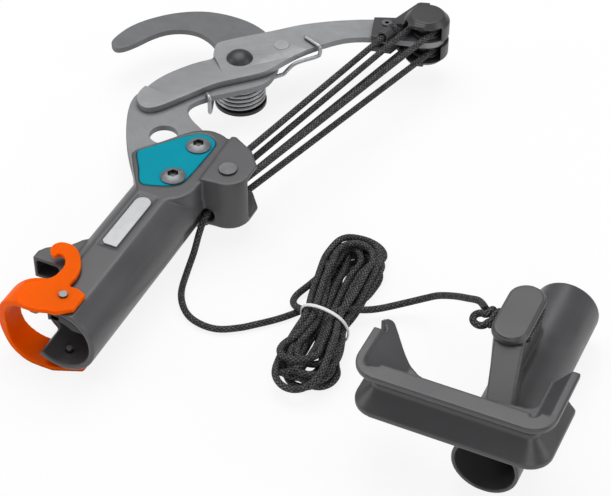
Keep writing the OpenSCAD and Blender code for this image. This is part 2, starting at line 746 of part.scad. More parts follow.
// hank: loops drawn in at the waist, spiralling in and out in four layers
hank_at = [28, -36];
hank_turn = 11;
hank_low = 1.3 + cord_r;
hank_step = cord_d + 1.25;
hank_rise = cord_d + 0.85;
hank_laps = 9.5;
function hank_base(a) = let (s = sin(a), c = cos(a), l = s > 0 ? 67 : 45,
        g = pow(abs(s), 1.3), k = sign(c) * pow(abs(c), 0.62))
    [k * (3.2 + 8 * g), l * sign(s) * pow(abs(s), 0.9)];
function hank_out(a) = let (t = hank_base(a + 2) - hank_base(a - 2)) [t[1], -t[0]] / norm(t);
function hank_level(q) = let (n = floor(q / 2.5), f = q - 2.5 * n)
    n + (f > 2 ? (1 - cos(360 * (f - 2))) / 2 : 0);
function hank_ring(q) = let (n = floor(q / 2.5), f = min(q - 2.5 * n, 2)) n % 2 == 0 ? 2 - f : f;
function hank_point(q) = let (a = 180 + 360 * q,
        p = hank_base(a) + hank_step * hank_ring(q) * hank_out(a))
    [p[0] * cos(hank_turn) - p[1] * sin(hank_turn) + hank_at[0],
        p[0] * sin(hank_turn) + p[1] * cos(hank_turn) + hank_at[1],
        hank_low + hank_rise * hank_level(q)];
hank_rings = 24 * hank_laps;
hank_loops = [for (i = [0:hank_rings]) hank_point(i / 24)];
hank_in_dir = unit(hank_loops[1] - hank_loops[0]);
hank_out_dir = unit(hank_loops[hank_rings] - hank_loops[hank_rings - 1]);
hank_in = hank_loops[0] - cord_d * hank_in_dir;
hank_end = hank_loops[hank_rings] + cord_d * hank_out_dir;
hank_path = concat([hank_in], hank_loops, [hank_end]);
hank_fine = concat([hank_in], [for (i = [0:3 * hank_rings]) hank_point(i / 72)], [hank_end]);
self_gap = min([for (i = [0:len(hank_fine) - 1], j = [i + 12:1:len(hank_fine) - 1])
    norm(hank_fine[i] - hank_fine[j])]) - cord_d;
echo(hank_self_gap = self_gap);

// free cord from the hank to the grip
tail_route = [[41.5, -21, 18], [46, -14, 16], [54, -8.5, 12.5], [62.5, -3.5, 10], [72, 1, 13],
    [82, -2, 22], [94, -9.5, 33], [105, -18, 43], [114, -25.5, 51]];
knot_at = [post_at[0] - post_w / 2 - cord_r - 0.4 - 9, post_at[1] + 1, loop_z];

module cord_lead() {
    path = concat(lead_route, [hank_in - 3 * hank_in_dir, hank_in - 0.1 * hank_in_dir]);
    color([0.1, 0.1, 0.11]) place() sweep(smooth_open(path, 3), cord_r, 8);
}

module cord_hank() {
    color([0.1, 0.1, 0.11]) place() sweep(hank_path, cord_r, 6);
}

module cord_tail() {
    starts = [hank_end + 0.1 * hank_out_dir, hank_end + 3 * hank_out_dir];
    path = concat(starts, tail_route, [knot_at + [-1, 0.5, 0]]);
    color([0.1, 0.1, 0.11]) place() sweep(smooth_open(path, 3), cord_r, 8);
}

module tie_shape(grow) {
    w = 3.2 + 2 * hank_step + cord_r + grow;
    h = 3 * hank_rise + cord_d + 2 * grow;
    translate([-w + 3, 0]) square([2 * w - 6, h]);
    translate([-w, 3]) square([2 * w, h - 6]);
    for (x = [3 - w, w - 3], y = [3, h - 3]) translate([x, y]) circle(r = 3, $fn = 24);
}

module hank_tie() {
    color([0.93, 0.93, 0.92]) place() translate(up(hank_at, 0)) rotate([90, 0, hank_turn])
        translate([0, 0, -1.5]) linear_extrude(3) difference() {
            translate([0, 0.05]) tie_shape(1.2);
            translate([0, 1]) tie_shape(0.25);
        }
}

// the neck of the post is cut from its back to this far in front of its middle
neck_front = 12;

module cord_knot() {
    inner = post_w / 2 + 0.35;
    back = (post_l - post_w) / 2;
    right_end = neck_front - 0.6;
    color([0.1, 0.1, 0.11]) place() union() {
        translate(up(post_at, loop_z - cord_r)) linear_extrude(cord_d) difference() {
            union() {
                translate([0, back]) circle(inner + cord_d, $fn = 48);
                translate([-inner - cord_d, -1]) square([cord_d, back + 1]);
                translate([inner, -right_end]) square([cord_d, back + right_end]);
            }
            translate([0, back]) circle(inner, $fn = 48);
            translate([-inner, -2 * neck_front]) square([2 * inner, 2 * neck_front + back]);
        }
        translate(knot_at + [4.6, -1, -5.4]) cylinder(d = 8, h = 8, $fn = 40);
        translate(knot_at + [1, -1.5, -4.6]) cylinder(d = 7.5, h = 6.8, $fn = 40);
    }
}

// section of the winder rim: a groove between two flanges, land wide at the tips
module rim_section(land) {
    h = winder_h / 2;
    polygon([[rim_deep, h], [rim_deep, h - 3.2], [3, 1.6], [3, -1.6], [rim_deep, 3.2 - h],
        [rim_deep, -h], [rim_deep - land, -h], [-1, -3.5], [-1, 3.5], [rim_deep - land, h]]);
}

module rim_run(p, turn, l, land) {
    translate(up(p, web_z)) rotate([0, 0, turn]) rotate([90, 0, 0])
        linear_extrude(l) rim_section(land);
}

module winder() {
    x0 = winder_left + rim_deep;
    x1 = winder_right - rim_deep;
    y0 = winder_front + rim_deep;
    bend = 1.5;
    rim_run([x1 - bend, y0], -90, x1 - x0 - 2 * bend, 11);
    rim_run([x1, arm_end], 0, arm_end - y0 - bend, 4.5);
    rim_run([x0, y0 + bend], 180, left_arm_end - y0 - bend, 4.5);
    translate([x0 + bend, y0 + bend, web_z]) rotate([0, 0, 180]) rotate_extrude(angle = 90, $fn = 48)
        translate([bend, 0]) intersection() {
            rim_section(4.5);
            translate([-bend, -50]) square([50, 100]);
        }
    translate([x1 - bend, y0 + bend, web_z]) rotate([0, 0, 270]) rotate_extrude(angle = 90, $fn = 48)
        translate([bend, 0]) intersection() {
            rim_section(9);
            translate([-bend, -50]) square([50, 100]);
        }
    translate([0, 0, web_z - 3.5]) linear_extrude(7) polygon(concat(
        [[x0 - 0.5, left_arm_end], [x0 - 0.5, y0 - 0.5], [x1 + 0.5, y0 - 0.5], [x1 + 0.5, arm_end],
            [x1 - 3, arm_end]],
        [for (a = [0:10:90]) [x1 - 9 + 6 * cos(a), y0 + 18 - 6 * sin(a)]],
        left_sweep));
    claw();
}

// inner edge of the web on the left, and the sloping panel beside the left arm that ends in a claw
left_sweep = on_arm([[43.9, -15.6], [37.3, -14.3], [30.2, -12], [26.8, -9.6], [23.3, -7.1],
    [19.6, -3.8], [16.6, -0.5]]);
claw_points = [[13.4, 3.3], [10.1, 7.2], [7.7, 9.8], [6.1, 10.6], [3.9, 9.8], [2, 7.5], [1.3, 5.6],
    [2.9, 5.5], [4.3, 4.8], [5.2, 3.5], [5.5, 1.8], [5.5, -22], [9, -27.5], [43.9, -28]];
claw_foot = [[13.4, 3.3], [11, 6.2], [9.6, 3], [9.6, -24.5], [43.9, -24.5]];
bar_corner = [[4.9, -28.2], [13.8, -25], [13.8, -31], [6, -31]];

function on_arm(points) = [for (p = points) [winder_left + p[0], left_arm_end + p[1]]];

module claw() {
    high = web_z + winder_h / 2;
    difference() {
        union() {
            translate([0, 0, web_z + 6]) linear_extrude(winder_h / 2 - 6.2)
                polygon(concat(left_sweep, on_arm(claw_points)));
            translate([0, 0, web_z - 3.4]) linear_extrude(9.6)
                polygon(concat(left_sweep, on_arm(claw_foot)));
        }
        translate([winder_left + 4.5, winder_front, high - 1.5]) rotate([0, 26.5, 0])
            translate([-20, 0, 0]) cube([80, 60, 40]);
    }
    translate([0, 0, high - 4.2]) linear_extrude(4.1) polygon(on_arm(bar_corner));
}

// web from the post's front down to the winder's bar
module post_web() {
    back = post_at[1] - neck_front - 0.5;
    intersection() {
        translate([0, 0, sleeve_r]) linear_extrude(cap_z - sleeve_r)
            polygon([[post_at[0] - post_w / 2 - 1.8, back], [141, -86], [155.5, -86],
                [post_at[0] + post_w / 2 + 1.8, back]]);
        translate([winder_left, 0, 0]) rotate([90, 0, 90]) linear_extrude(winder_len)
            polygon([[-30, sleeve_r], [-30, cap_z - 0.6], [-55, cap_z - 0.6], [-90, 41.5], [-90, sleeve_r]]);
    }
}

// post on the sleeve, with a neck for the cord's loop that stops short of its front
module post() {
    neck_h = cord_d + 1.9;
    difference() {
        translate(up(post_at, sleeve_r)) linear_extrude(cap_z - sleeve_r) pill(post_l + 8, post_w + 5);
        translate(up(post_at, cap_z - neck_h)) linear_extrude(neck_h + 1) difference() {
            translate([-40, -neck_front]) square([80, 80]);
            pill(post_l, post_w);
        }
    }
}

module grip_body() {
    color([0.25, 0.25, 0.26]) place() difference() {
        union() {
            translate([sleeve_at[0], sleeve_at[1], sleeve_r]) rotate([-90, 0, 0])
                cylinder(d = sleeve_d, h = sleeve_len, $fn = 96);
            winder();
            post();
            post_web();
            translate([sleeve_at[0] - 15, winder_front + rim_deep - 1, sleeve_r])
                cube([30, 9, web_z - sleeve_r]);
        }
        translate([sleeve_at[0], sleeve_at[1] - 10, sleeve_r]) rotate([-90, 0, 0])
            cylinder(d = sleeve_bore, h = sleeve_len + 20, $fn = 96);
        translate(up(post_at, cap_z - 12)) cylinder(d = 3, h = 20, $fn = 24);
    }
}

// headless screw that holds the cap, hidden in both
stud_d = 3;
stud_up = 2.4;
stud_down = 9;

module grip_cap() {
    color([0.3, 0.3, 0.31]) place() translate(up(post_at, cap_z)) difference() {
        union() {
            linear_extrude(3) pill(post_l + 11, post_w + 7.5);
            translate([0, 0, 3]) linear_extrude(1.2) pill(post_l + 8.6, post_w + 5.1);
        }
        translate([0, 0, -1]) cylinder(d = stud_d + 0.4, h = stud_up + 1.2, $fn = 24);
    }
}

module grip_screw() {
    color([0.45, 0.45, 0.46]) place() translate(up(post_at, cap_z - stud_down))
        cylinder(d = stud_d, h = stud_down + stud_up, $fn = 24);
}

housing();
cover_plate();
back_plate();
badge();
hook_blade();
clamp_screw_front();
clamp_screw_rear();
clamp_nut_front();
clamp_nut_rear();
pivot_bolt();
pivot_nut();
spring_cup();
return_spring();
bracket_pin();
bracket_sheave_top();
bracket_sheave_mid();
bracket_sheave_low();
bracket_turn_top();
bracket_turn_mid();
latch();
latch_pin_top();
latch_pin_low();
lock_jaw();
lever_blade();
pivot_bush();
spring_arm();
stop_rivet();
block_cover_top();
block_cover_low();
block_pin();
cover_rivet();
block_sheave_top();
block_sheave_low();
block_turn_top();
block_turn_low();
anchor_knot();
strand_1();
strand_2();
strand_3();
strand_4();
strand_5();
cord_lead();
cord_hank();
hank_tie();
cord_tail();
cord_knot();
grip_body();
grip_cap();
grip_screw();
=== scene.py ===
import json
import math
import bmesh
import bpy
import numpy as np
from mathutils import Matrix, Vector

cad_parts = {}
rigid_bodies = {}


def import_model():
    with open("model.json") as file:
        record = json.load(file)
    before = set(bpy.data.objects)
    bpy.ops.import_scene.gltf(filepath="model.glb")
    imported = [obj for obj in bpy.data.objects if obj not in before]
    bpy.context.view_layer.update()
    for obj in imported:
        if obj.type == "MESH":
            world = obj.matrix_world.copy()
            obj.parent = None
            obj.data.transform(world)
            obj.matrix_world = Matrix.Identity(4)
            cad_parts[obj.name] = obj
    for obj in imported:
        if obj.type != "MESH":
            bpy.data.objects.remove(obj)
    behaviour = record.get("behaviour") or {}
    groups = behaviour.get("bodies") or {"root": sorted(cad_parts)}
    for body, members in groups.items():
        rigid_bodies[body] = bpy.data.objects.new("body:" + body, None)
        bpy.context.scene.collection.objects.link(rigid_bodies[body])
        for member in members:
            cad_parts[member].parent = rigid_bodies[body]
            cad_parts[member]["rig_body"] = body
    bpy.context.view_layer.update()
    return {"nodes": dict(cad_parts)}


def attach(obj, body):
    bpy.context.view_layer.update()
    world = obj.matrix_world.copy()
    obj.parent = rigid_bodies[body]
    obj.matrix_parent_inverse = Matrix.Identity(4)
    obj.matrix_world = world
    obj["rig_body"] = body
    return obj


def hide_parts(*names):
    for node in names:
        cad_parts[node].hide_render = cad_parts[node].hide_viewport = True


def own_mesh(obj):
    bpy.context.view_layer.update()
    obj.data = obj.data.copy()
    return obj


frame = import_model()
nodes = frame["nodes"]
scene = bpy.context.scene
scene.view_settings.view_transform = "Standard"
print("frame loaded with", len(nodes), "nodes")

home = np.array((6.0, -48.25, 0.0))  # mm, moves the part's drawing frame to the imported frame


def packed(points):
    return (np.asarray(points, float) + home) / 1000


def turnedTo(at, aim):
    return (Vector(aim) - Vector(at)).to_track_quat("-Z", "Y").to_euler()


# camera, from the photo's viewing angle
eye = {"at": (0.3466, -0.7797, 0.7515), "aim": (0.0056, -0.04845, 0.025), "lens": 111.95, "sensor": 36.0}
camera = bpy.data.objects.new("camera", bpy.data.cameras.new("camera"))
scene.collection.objects.link(camera)
camera.data.lens = eye["lens"]
camera.data.sensor_width = eye["sensor"]
camera.data.sensor_fit = "HORIZONTAL"
camera.location = eye["at"]
camera.rotation_euler = turnedTo(eye["at"], eye["aim"])
scene.camera = camera


# helpers for shader nodes
def put(tree, kind, takes=None, **settings):
    node = tree.nodes.new(kind)
    for key, value in settings.items():
        setattr(node, key, value)
    for key, value in (takes or {}).items():
        if isinstance(value, bpy.types.NodeSocket):
            tree.links.new(value, node.inputs[key])
        else:
            node.inputs[key].default_value = value
    return node


def sums(tree, what, a, b=0.0, c=0.0):
    return put(tree, "ShaderNodeMath", {0: a, 1: b, 2: c}, operation=what).outputs[0]


def ranged(tree, value, span, toLow, toHigh):
    takes = {"Value": value, "From Min": span[0], "From Max": span[1], "To Min": toLow, "To Max": toHigh}
    return put(tree, "ShaderNodeMapRange", takes).outputs[0]


def swung(tree, value, span, amount):  # from 1 - amount to 1 + amount
    least, most = sums(tree, "SUBTRACT", 1.0, amount), sums(tree, "ADD", 1.0, amount)
    return ranged(tree, value, span, least, most)


def mixed(tree, share, a, b):
    return put(tree, "ShaderNodeMix", {0: share, 6: a, 7: b}, data_type="RGBA").outputs[2]


def noise(tree, where, scale, detail):
    return put(tree, "ShaderNodeTexNoise", {"Vector": where, "Scale": scale, "Detail": detail}).outputs["Fac"]


def toned(tree, tone, value):
    return put(tree, "ShaderNodeHueSaturation", {"Color": tone, "Value": value}).outputs[0]


def startGroup(name, takes, gives):
    group = bpy.data.node_groups.new(name, "ShaderNodeTree")
    for label, kind, value in takes:
        socket = group.interface.new_socket(name=label, in_out="INPUT", socket_type="NodeSocket" + kind)
        socket.default_value = value
    for label, kind in gives:
        group.interface.new_socket(name=label, in_out="OUTPUT", socket_type="NodeSocket" + kind)
    return group, group.nodes.new("NodeGroupInput").outputs, group.nodes.new("NodeGroupOutput").inputs


# node groups that the finishes share
grainLook = {"fineDetail": 3.0, "cloudSize": 34.0, "cloudDetail": 5.0, "cloudSpan": (0.25, 0.75), "glossSwing": 0.35}


def makeMouldedGrain():
    takes = [("Tone", "Color", (0.1, 0.1, 0.1, 1)), ("Mottle", "Float", 0.1), ("Gloss", "Float", 0.5),
             ("Grain Size", "Float", 900.0)]
    gives = [("Tone", "Color"), ("Gloss", "Float"), ("Height", "Float")]
    group, take, give = startGroup("mouldedGrain", takes, gives)
    where = put(group, "ShaderNodeTexCoord").outputs["Object"]
    fine = noise(group, where, take["Grain Size"], grainLook["fineDetail"])
    cloud = noise(group, where, grainLook["cloudSize"], grainLook["cloudDetail"])
    swing = swung(group, cloud, grainLook["cloudSpan"], take["Mottle"])
    offMiddle = sums(group, "SUBTRACT", cloud, 0.5)
    group.links.new(toned(group, take["Tone"], swing), give["Tone"])
    group.links.new(sums(group, "MULTIPLY_ADD", offMiddle, grainLook["glossSwing"], take["Gloss"]), give["Gloss"])
    group.links.new(fine, give["Height"])
    return group


# edge wear on worn edges, and painted shade: the tone is darkened in corners and recesses
wearAndShadeLook = {"edgeSpan": (0.52, 0.62), "patchSize": 160.0, "patchDetail": 4.0, "patchSpan": (0.35, 0.65),
            "patchLeast": 0.3, "cornerReach": 0.004, "cornerSpan": (0.25, 0.85), "darkest": 0.04}


def makeEdgeWearAndShade():
    takes = [("Tone", "Color", (0.1, 0.1, 0.1, 1)), ("Worn", "Color", (0.3, 0.3, 0.3, 1)), ("Amount", "Float", 0.5),
             ("Shade", "Float", 0.55)]
    group, take, give = startGroup("edgeWearAndShade", takes, [("Tone", "Color")])
    point = put(group, "ShaderNodeNewGeometry").outputs["Pointiness"]
    where = put(group, "ShaderNodeTexCoord").outputs["Object"]
    patch = noise(group, where, wearAndShadeLook["patchSize"], wearAndShadeLook["patchDetail"])
    edge = ranged(group, point, wearAndShadeLook["edgeSpan"], 0.0, 1.0)
    patchy = sums(group, "MULTIPLY", edge, ranged(group, patch, wearAndShadeLook["patchSpan"], wearAndShadeLook["patchLeast"], 1.0))
    mask = sums(group, "MULTIPLY", patchy, take["Amount"])
    # painted shade: ambient occlusion darkens the tone in corners, creases and recesses, by up to Shade
    corner = put(group, "ShaderNodeAmbientOcclusion", {"Distance": wearAndShadeLook["cornerReach"]}, samples=6).outputs["AO"]
    shaded = ranged(group, corner, wearAndShadeLook["cornerSpan"], sums(group, "SUBTRACT", 1.0, take["Shade"]), 1.0)
    keep = sums(group, "MAXIMUM", shaded, wearAndShadeLook["darkest"])
    tone = mixed(group, mask, take["Tone"], take["Worn"])
    group.links.new(toned(group, tone, keep), give["Tone"])
    return group


steelLook = {"drawn": (0.03, 1.0, 1.0), "streakSize": 1700.0, "streakDetail": 3.0, "streakShare": 0.55,
             "cloudSize": 45.0, "cloudDetail": 5.0, "cloudShare": 0.45, "span": (0.3, 0.7), "glossSwing": 0.3,
             "shadeFadeWay": (-0.423, 0.906, 0.0), "shadeFadeSpan": (0.1, 0.145)}  # the painted shade's fade is in metres: the steel is painted darker towards the hook's tip, away from the eye


def makeGroundSteel():
    takes = [("Tone", "Color", (0.4, 0.4, 0.4, 1)), ("Turn", "Float", 0.0), ("Contrast", "Float", 0.12),
             ("Gloss", "Float", 0.4), ("Fade", "Float", 0.0)]
    gives = [("Tone", "Color"), ("Gloss", "Float"), ("Height", "Float")]
    group, take, give = startGroup("groundSteel", takes, gives)
    where = put(group, "ShaderNodeTexCoord").outputs["Object"]
    turning = {"Vector": where, "Angle": take["Turn"]}
    turned = put(group, "ShaderNodeVectorRotate", turning, rotation_type="Z_AXIS").outputs[0]
    drawn = put(group, "ShaderNodeMapping", {"Vector": turned, "Scale": steelLook["drawn"]}).outputs[0]
    streak = noise(group, drawn, steelLook["streakSize"], steelLook["streakDetail"])
    cloud = noise(group, where, steelLook["cloudSize"], steelLook["cloudDetail"])
    streakPart = sums(group, "MULTIPLY", streak, steelLook["streakShare"])
    both = sums(group, "ADD", streakPart, sums(group, "MULTIPLY", cloud, steelLook["cloudShare"]))
    swing = swung(group, both, steelLook["span"], take["Contrast"])
    # painted shade: the tone is darkened along the fade's way, away from the eye, by up to the fade's share
    measured = {0: where, 1: steelLook["shadeFadeWay"]}
    up = put(group, "ShaderNodeVectorMath", measured, operation="DOT_PRODUCT").outputs["Value"]
    shadeFaded = ranged(group, up, steelLook["shadeFadeSpan"], 1.0, sums(group, "SUBTRACT", 1.0, take["Fade"]))
    offMiddle = sums(group, "SUBTRACT", both, 0.5)
    group.links.new(toned(group, take["Tone"], sums(group, "MULTIPLY", swing, shadeFaded)), give["Tone"])
    group.links.new(sums(group, "MULTIPLY_ADD", offMiddle, steelLook["glossSwing"], take["Gloss"]), give["Gloss"])
    group.links.new(streak, give["Height"])
    return group


# the braid's light tone is a painted highlight on the yarns' crowns
braidLook = {"highlightPower": 3.0, "highlightLeast": 0.35}


def makeBraid():
    takes = [("Dark", "Color", (0.01, 0.01, 0.01, 1)), ("Light", "Color", (0.3, 0.3, 0.3, 1)),
             ("Yarns", "Float", 7.0), ("Pitch", "Float", 420.0)]
    group, take, give = startGroup("braid", takes, [("Tone", "Color"), ("Height", "Float")])
    laid = put(group, "ShaderNodeUVMap", uv_map="braidUV").outputs[0]
    lay = put(group, "ShaderNodeSeparateXYZ", {0: laid}).outputs
    girth = sums(group, "MULTIPLY", lay[0], take["Yarns"])
    along = sums(group, "MULTIPLY", lay[1], take["Pitch"])
    right, left = sums(group, "ADD", girth, along), sums(group, "SUBTRACT", girth, along)
    rightCell, leftCell = sums(group, "FLOOR", right), sums(group, "FLOOR", left)
    over = sums(group, "FLOORED_MODULO", sums(group, "ADD", rightCell, leftCell), 2.0)
    ridges = []
    for way in (left, right):
        ridges.append(sums(group, "SINE", sums(group, "MULTIPLY", sums(group, "FRACT", way), math.pi)))
    height = put(group, "ShaderNodeMix", {0: over, 2: ridges[0], 3: ridges[1]}).outputs[0]
    spot = put(group, "ShaderNodeCombineXYZ", {0: rightCell, 1: leftCell}).outputs[0]
    chance = put(group, "ShaderNodeTexWhiteNoise", {"Vector": spot}).outputs["Value"]
    # painted highlight: the light tone is laid on the yarns' crowns, of random strength from cell to cell
    crown = sums(group, "POWER", height, braidLook["highlightPower"])
    crownHighlight = sums(group, "MULTIPLY", crown, ranged(group, chance, (0.0, 1.0), braidLook["highlightLeast"], 1.0))
    group.links.new(mixed(group, crownHighlight, take["Dark"], take["Light"]), give["Tone"])
    group.links.new(height, give["Height"])
    return group


groups = {"grain": makeMouldedGrain(), "wear": makeEdgeWearAndShade(), "steel": makeGroundSteel(), "braid": makeBraid()}
print("node groups made:", ", ".join(sorted(groups)))


# finishes
bumpDepth = {"grain": 0.0002, "steel": 0.0001, "braid": 0.0005}  # metres


def rgb(red, green, blue):  # colours are written as the eye reads them, 0 to 255
    parts = [((c / 255 + 0.055) / 1.055) ** 2.4 if c > 10 else c / 255 / 12.92 for c in (red, green, blue)]
    return (*parts, 1.0)


def startFinish(name, plain):
    finish = bpy.data.materials.new(name)
    finish.use_nodes = True
    tree = finish.node_tree
    shader = tree.nodes["Principled BSDF"]
    for key, value in plain.items():
        shader.inputs[key].default_value = value
    return finish, tree, shader


def useGroup(tree, key, takes):
    return put(tree, "ShaderNodeGroup", takes, node_tree=groups[key]).outputs


def bumped(tree, shader, height, strength, distance):
    bump = put(tree, "ShaderNodeBump", {"Height": height, "Strength": strength, "Distance": distance})
    tree.links.new(bump.outputs[0], shader.inputs["Normal"])


# the base colour takes the edge wear and the painted shade in corners and recesses
def wornAndShadedSkin(tree, shader, skin, worn, wear, shade):
    edge = useGroup(tree, "wear", {"Tone": skin["Tone"], "Worn": worn, "Amount": wear, "Shade": shade})
    tree.links.new(edge["Tone"], shader.inputs["Base Color"])
    tree.links.new(skin["Gloss"], shader.inputs["Roughness"])


def plastic(name, tone, worn, gloss=0.5, mottle=0.1, grain=900.0, depth=0.25, wear=0.5, shade=0.55, plain=None):
    finish, tree, shader = startFinish(name, plain or {})
    skin = useGroup(tree, "grain", {"Tone": tone, "Mottle": mottle, "Gloss": gloss, "Grain Size": grain})
    wornAndShadedSkin(tree, shader, skin, worn, wear, shade)
    bumped(tree, shader, skin["Height"], depth, bumpDepth["grain"])
    return finish


def steel(name, tone, worn, gloss=0.4, turn=0.0, contrast=0.1, depth=0.1, wear=0.6, metal=0.5, shade=0.55, shadeFade=0.0):
    finish, tree, shader = startFinish(name, {"Metallic": metal})
    looks = {"Tone": tone, "Turn": turn, "Contrast": contrast, "Gloss": gloss, "Fade": shadeFade}
    skin = useGroup(tree, "steel", looks)
    wornAndShadedSkin(tree, shader, skin, worn, wear, shade)
    bumped(tree, shader, skin["Height"], depth, bumpDepth["steel"])
    return finish


def braided(name, dark, light, yarns, pitch, rough=0.7, shine=0.3, depth=0.8):
    finish, tree, shader = startFinish(name, {"Roughness": rough, "Specular IOR Level": shine})
    skin = useGroup(tree, "braid", {"Dark": dark, "Light": light, "Yarns": yarns, "Pitch": pitch})
    tree.links.new(skin["Tone"], shader.inputs["Base Color"])
    bumped(tree, shader, skin["Height"], depth, bumpDepth["braid"])
    return finish


finishes = {
    "housing_grey": plastic("housingPlastic", rgb(74, 74, 76), rgb(124, 124, 126), gloss=0.36, mottle=0.07, depth=0.18),
    "cover_blue": plastic("coverPlastic", rgb(0, 136, 155), rgb(60, 172, 190), mottle=0.04, depth=0.12, wear=0.4,
                          plain={"Specular IOR Level": 0.05}),
    "badge_silver": steel("badgeFoil", rgb(172, 173, 175), rgb(212, 212, 213), turn=1.57, contrast=0.05, metal=0.4),
    # the hook plate is painted darker towards its tip, a painted shade
    "plate_steel": steel("plateSteel", rgb(128, 129, 131), rgb(165, 166, 168), gloss=0.55, turn=0.6, contrast=0.15,
                         metal=0.4, shadeFade=0.38),
    "blade_steel": steel("bladeSteel", rgb(138, 139, 141), rgb(190, 191, 193), gloss=0.5, turn=-0.5, contrast=0.13,
                         metal=0.45),
    # screws and pins take a deeper painted shade in their sockets and round their feet
    "screw_steel": steel("screwSteel", rgb(124, 125, 128), rgb(190, 190, 192), metal=0.6, shade=1.7),
    "black_steel": steel("blackSteel", rgb(66, 66, 68), rgb(120, 120, 122), gloss=0.42),
    "pin_steel": steel("pinSteel", rgb(92, 92, 95), rgb(180, 180, 182), gloss=0.42, metal=0.6, shade=1.2),
    "rivet_steel": steel("rivetSteel", rgb(152, 153, 155), rgb(222, 222, 223), contrast=0.08),
    "spring_steel": steel("springSteel", rgb(160, 161, 164), rgb(220, 220, 221), gloss=0.34, metal=0.7),
    "black_plastic": plastic("jawPlastic", rgb(20, 20, 21), rgb(60, 60, 62), gloss=0.45, depth=0.2),
    "sheave_plastic": plastic("sheavePlastic", rgb(42, 42, 44), rgb(85, 85, 87), gloss=0.45, depth=0.15),
    "latch_orange": plastic("latchPlastic", rgb(238, 90, 0), rgb(246, 128, 40), gloss=0.34, mottle=0.04, depth=0.08,
                            wear=0.3, plain={"Specular IOR Level": 0.03, "Subsurface Weight": 0.5,
                                             "Subsurface Scale": 0.012}),
    "block_grey": plastic("blockPlastic", rgb(54, 54, 56), rgb(98, 98, 100), gloss=0.42, mottle=0.07, depth=0.18),
    "cord_black": braided("cordBraid", rgb(15, 15, 16), rgb(106, 106, 108), yarns=6.0, pitch=400.0),
    "tie_white": plastic("tiePlastic", rgb(222, 222, 220), rgb(240, 240, 239), mottle=0.04, depth=0.1, wear=0.2),
    "grip_grey": plastic("gripPlastic", rgb(69, 69, 71), rgb(108, 108, 110), gloss=0.37, depth=0.2),
}
print("finishes made:", len(finishes))


# pieces
weld = {"reach": 2e-6, "flat": math.radians(0.7)}  # metres, and the bend that still counts as flat
bevelFrom = math.radians(32)


def bodyOf(node):
    return nodes[node]["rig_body"]


def addPiece(name, mesh, slotName, body, *stands):
    piece = bpy.data.objects.new(name, mesh)
    scene.collection.objects.link(piece)
    mesh.materials.clear()
    mesh.materials.append(finishes[slotName])
    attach(piece, body)
    if stands:
        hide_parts(*stands)
    return piece


def weldedMesh(node, name, flatten=False):
    form = bmesh.new()
    form.from_mesh(nodes[node].data)
    bmesh.ops.remove_doubles(form, verts=form.verts[:], dist=weld["reach"])
    if flatten:
        bmesh.ops.dissolve_limit(form, angle_limit=weld["flat"], verts=form.verts[:], edges=form.edges[:],
                                 use_dissolve_boundaries=False)
    for face in form.faces:
        face.smooth = True
    mesh = bpy.data.meshes.new(name)
    form.to_mesh(mesh)
    form.free()
    for label in [a.name for a in mesh.attributes if a.name in ("custom_normal", "UVMap")]:
        mesh.attributes.remove(mesh.attributes[label])
    return mesh


def shadeSmooth(mesh):
    mesh.polygons.foreach_set("use_smooth", np.ones(len(mesh.polygons), bool))


def edged(node, name, slotName, width, steps):
    piece = addPiece(name, weldedMesh(node, name, True), slotName, bodyOf(node), node)
    bevel = piece.modifiers.new("roundEdges", "BEVEL")
    bevel.width = width / 1000
    bevel.segments = steps
    bevel.limit_method = "ANGLE"
    bevel.angle_limit = bevelFrom
    bevel.harden_normals = True
    level = piece.modifiers.new("evenShading", "WEIGHTED_NORMAL")
    level.keep_sharp = True


def moulded(node, name, slotName, voxel, rounds, keep):
    rough = bpy.data.objects.new(name + "Rough", weldedMesh(node, name + "Rough"))
    scene.collection.objects.link(rough)
    cells = rough.modifiers.new("cells", "REMESH")
    cells.mode = "VOXEL"
    cells.voxel_size = voxel / 1000
    soft = rough.modifiers.new("fillets", "SMOOTH")
    soft.factor = 0.5
    soft.iterations = rounds
    thin = rough.modifiers.new("thin", "DECIMATE")
    thin.ratio = keep
    shaped = rough.evaluated_get(bpy.context.evaluated_depsgraph_get())
    mesh = bpy.data.meshes.new_from_object(shaped)
    mesh.name = name
    bpy.data.objects.remove(rough)
    shadeSmooth(mesh)
    addPiece(name, mesh, slotName, bodyOf(node), node)


# paths and tubes
tubeSides = 12


def circle(n):
    return 2 * math.pi * np.arange(n) / n


def lengthsAlong(p):
    return np.concatenate([[0], np.cumsum(np.linalg.norm(np.diff(p, axis=0), axis=1))])


def curveThrough(points, parts):
    p = np.asarray(points, float)
    n = len(p)
    out = []
    for i in range(n - 1):
        a, b, c, d = p[max(i - 1, 0)], p[i], p[i + 1], p[min(i + 2, n - 1)]
        bend, twist = 2 * a - 5 * b + 4 * c - d, 3 * b - a - 3 * c + d
        for j in range(parts):
            t = j / parts
            out.append(0.5 * (2 * b + (c - a) * t + bend * t * t + twist * t ** 3))
    return np.array(out + [p[-1]])


def evenly(points, step):
    p = np.asarray(points, float)
    far = lengthsAlong(p)
    n = max(2, int(round(far[-1] / step)) + 1)
    at = np.linspace(0, far[-1], n)
    return np.stack([np.interp(at, far, p[:, k]) for k in range(3)], axis=1)


